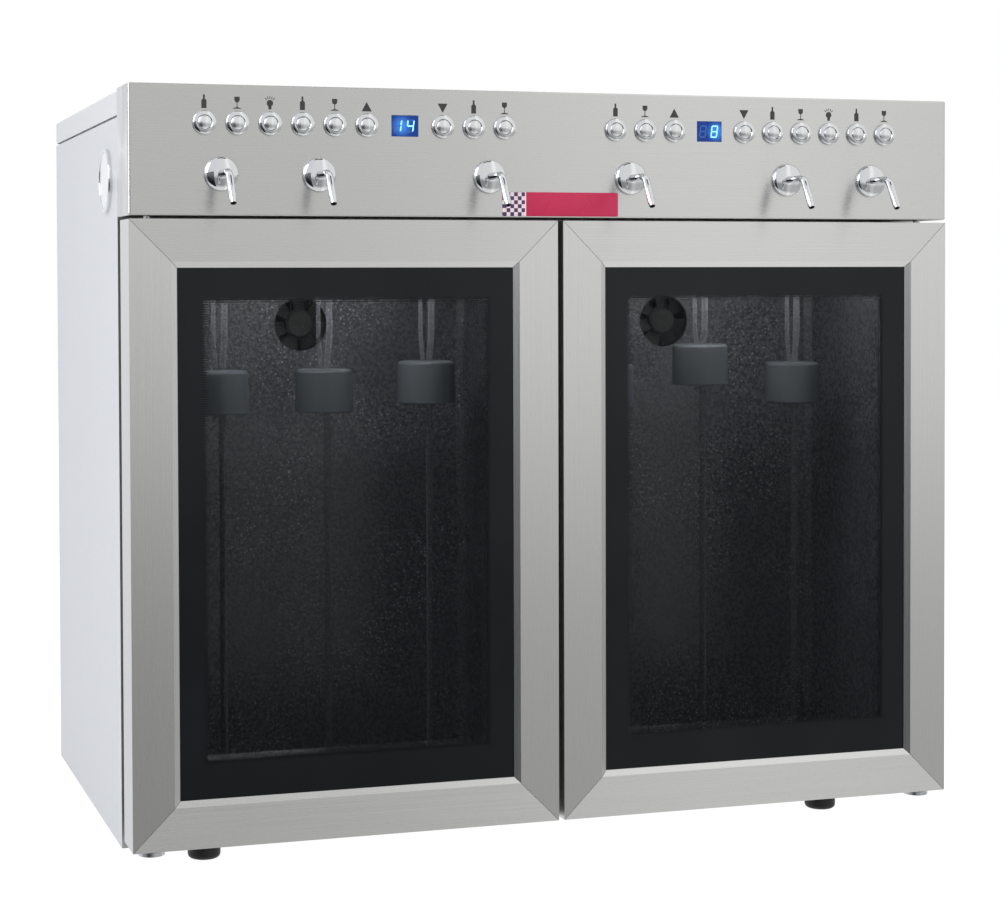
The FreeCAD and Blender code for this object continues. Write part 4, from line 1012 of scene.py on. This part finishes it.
def addLamp(name, place, target, size, power, mirrored):
    data = bpy.data.lights.new(name, "AREA")
    data.shape = "RECTANGLE"
    data.size, data.size_y = size
    data.energy = power
    lamp = bpy.data.objects.new(name, data)
    lamp.location = place
    lamp.rotation_mode = "QUATERNION"
    lamp.rotation_quaternion = (Vector(target) - Vector(place)).to_track_quat("-Z", "Y")
    lamp.visible_glossy = mirrored
    scene.collection.objects.link(lamp)


def addCard(name, middle, width, height, facing, tones):
    # a dark card of the kind held up in a studio, which only polished and brushed metal sees
    across = Vector((1, 0, 0)) * width / 2
    along = across.cross(Vector(facing)).normalized() * height / 2
    bm = bmesh.new()
    bm.faces.new([bm.verts.new(Vector(middle) + across * a + along * b)
                  for a, b in ((-1, -1), (1, -1), (1, 1), (-1, 1))])
    material, tree, shader, place = newMaterial(name, {"Roughness": 0.9, "Specular IOR Level": 0.0})
    upwards = addNode(tree, "SeparateXYZ", {0: place}).outputs["Z"]
    fade = addNode(tree, "MapRange", {0: upwards, 1: 0.0, 2: middle[2] + height / 2},
                   interpolation_type="SMOOTHSTEP")
    tone = addNode(tree, "Mix", {0: fade, 6: tones[0], 7: tones[1]}, data_type="RGBA")
    wire(tree, shader, {"Base Color": tone})
    card = addProp(name, bm, material)
    for kind in ("camera", "diffuse", "transmission", "shadow", "volume_scatter"):
        setattr(card, "visible_" + kind, False)


def makeCamera():
    yaw, pitch, roll = (math.radians(lens[angle]) for angle in ("yaw", "pitch", "roll"))
    forward = Vector((math.sin(yaw) * math.cos(pitch), math.cos(yaw) * math.cos(pitch), math.sin(pitch)))
    right = Vector((math.cos(yaw), -math.sin(yaw), 0))
    up = right.cross(forward)
    rolledRight = right * math.cos(roll) + up * math.sin(roll)
    rolledUp = up * math.cos(roll) - right * math.sin(roll)
    turn = Matrix((rolledRight, rolledUp, -forward)).transposed()
    data = bpy.data.cameras.new("lens")
    data.sensor_width = lens["sensor"]
    data.lens = lens["focal"]
    data.shift_x, data.shift_y = lens["shift"]
    camera = bpy.data.objects.new("camera", data)
    camera.matrix_world = Matrix.Translation(lens["place"]) @ turn.to_4x4()
    scene.collection.objects.link(camera)
    scene.camera = camera


makeFloor()
makeWorld()
for name, facts in lamps.items():
    addLamp(name, *facts)
lampLow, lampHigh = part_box("bay_lamps")
for glass in ("door_glass_left", "door_glass_right"):
    low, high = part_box(glass)
    under = Vector(((low.x + high.x) / 2, (lampLow.y + lampHigh.y) / 2, lampLow.z - mm))
    size = (bayLight["width"] * (high.x - low.x), bayLight["depth"])
    addLamp("bayLight", under, under + Vector(bayLight["aim"]), size, bayLight["watts"], True)
for name, facts in cards.items():
    addCard(name, *facts)
makeCamera()
scene.view_settings.view_transform = "Standard"
print("studio made")
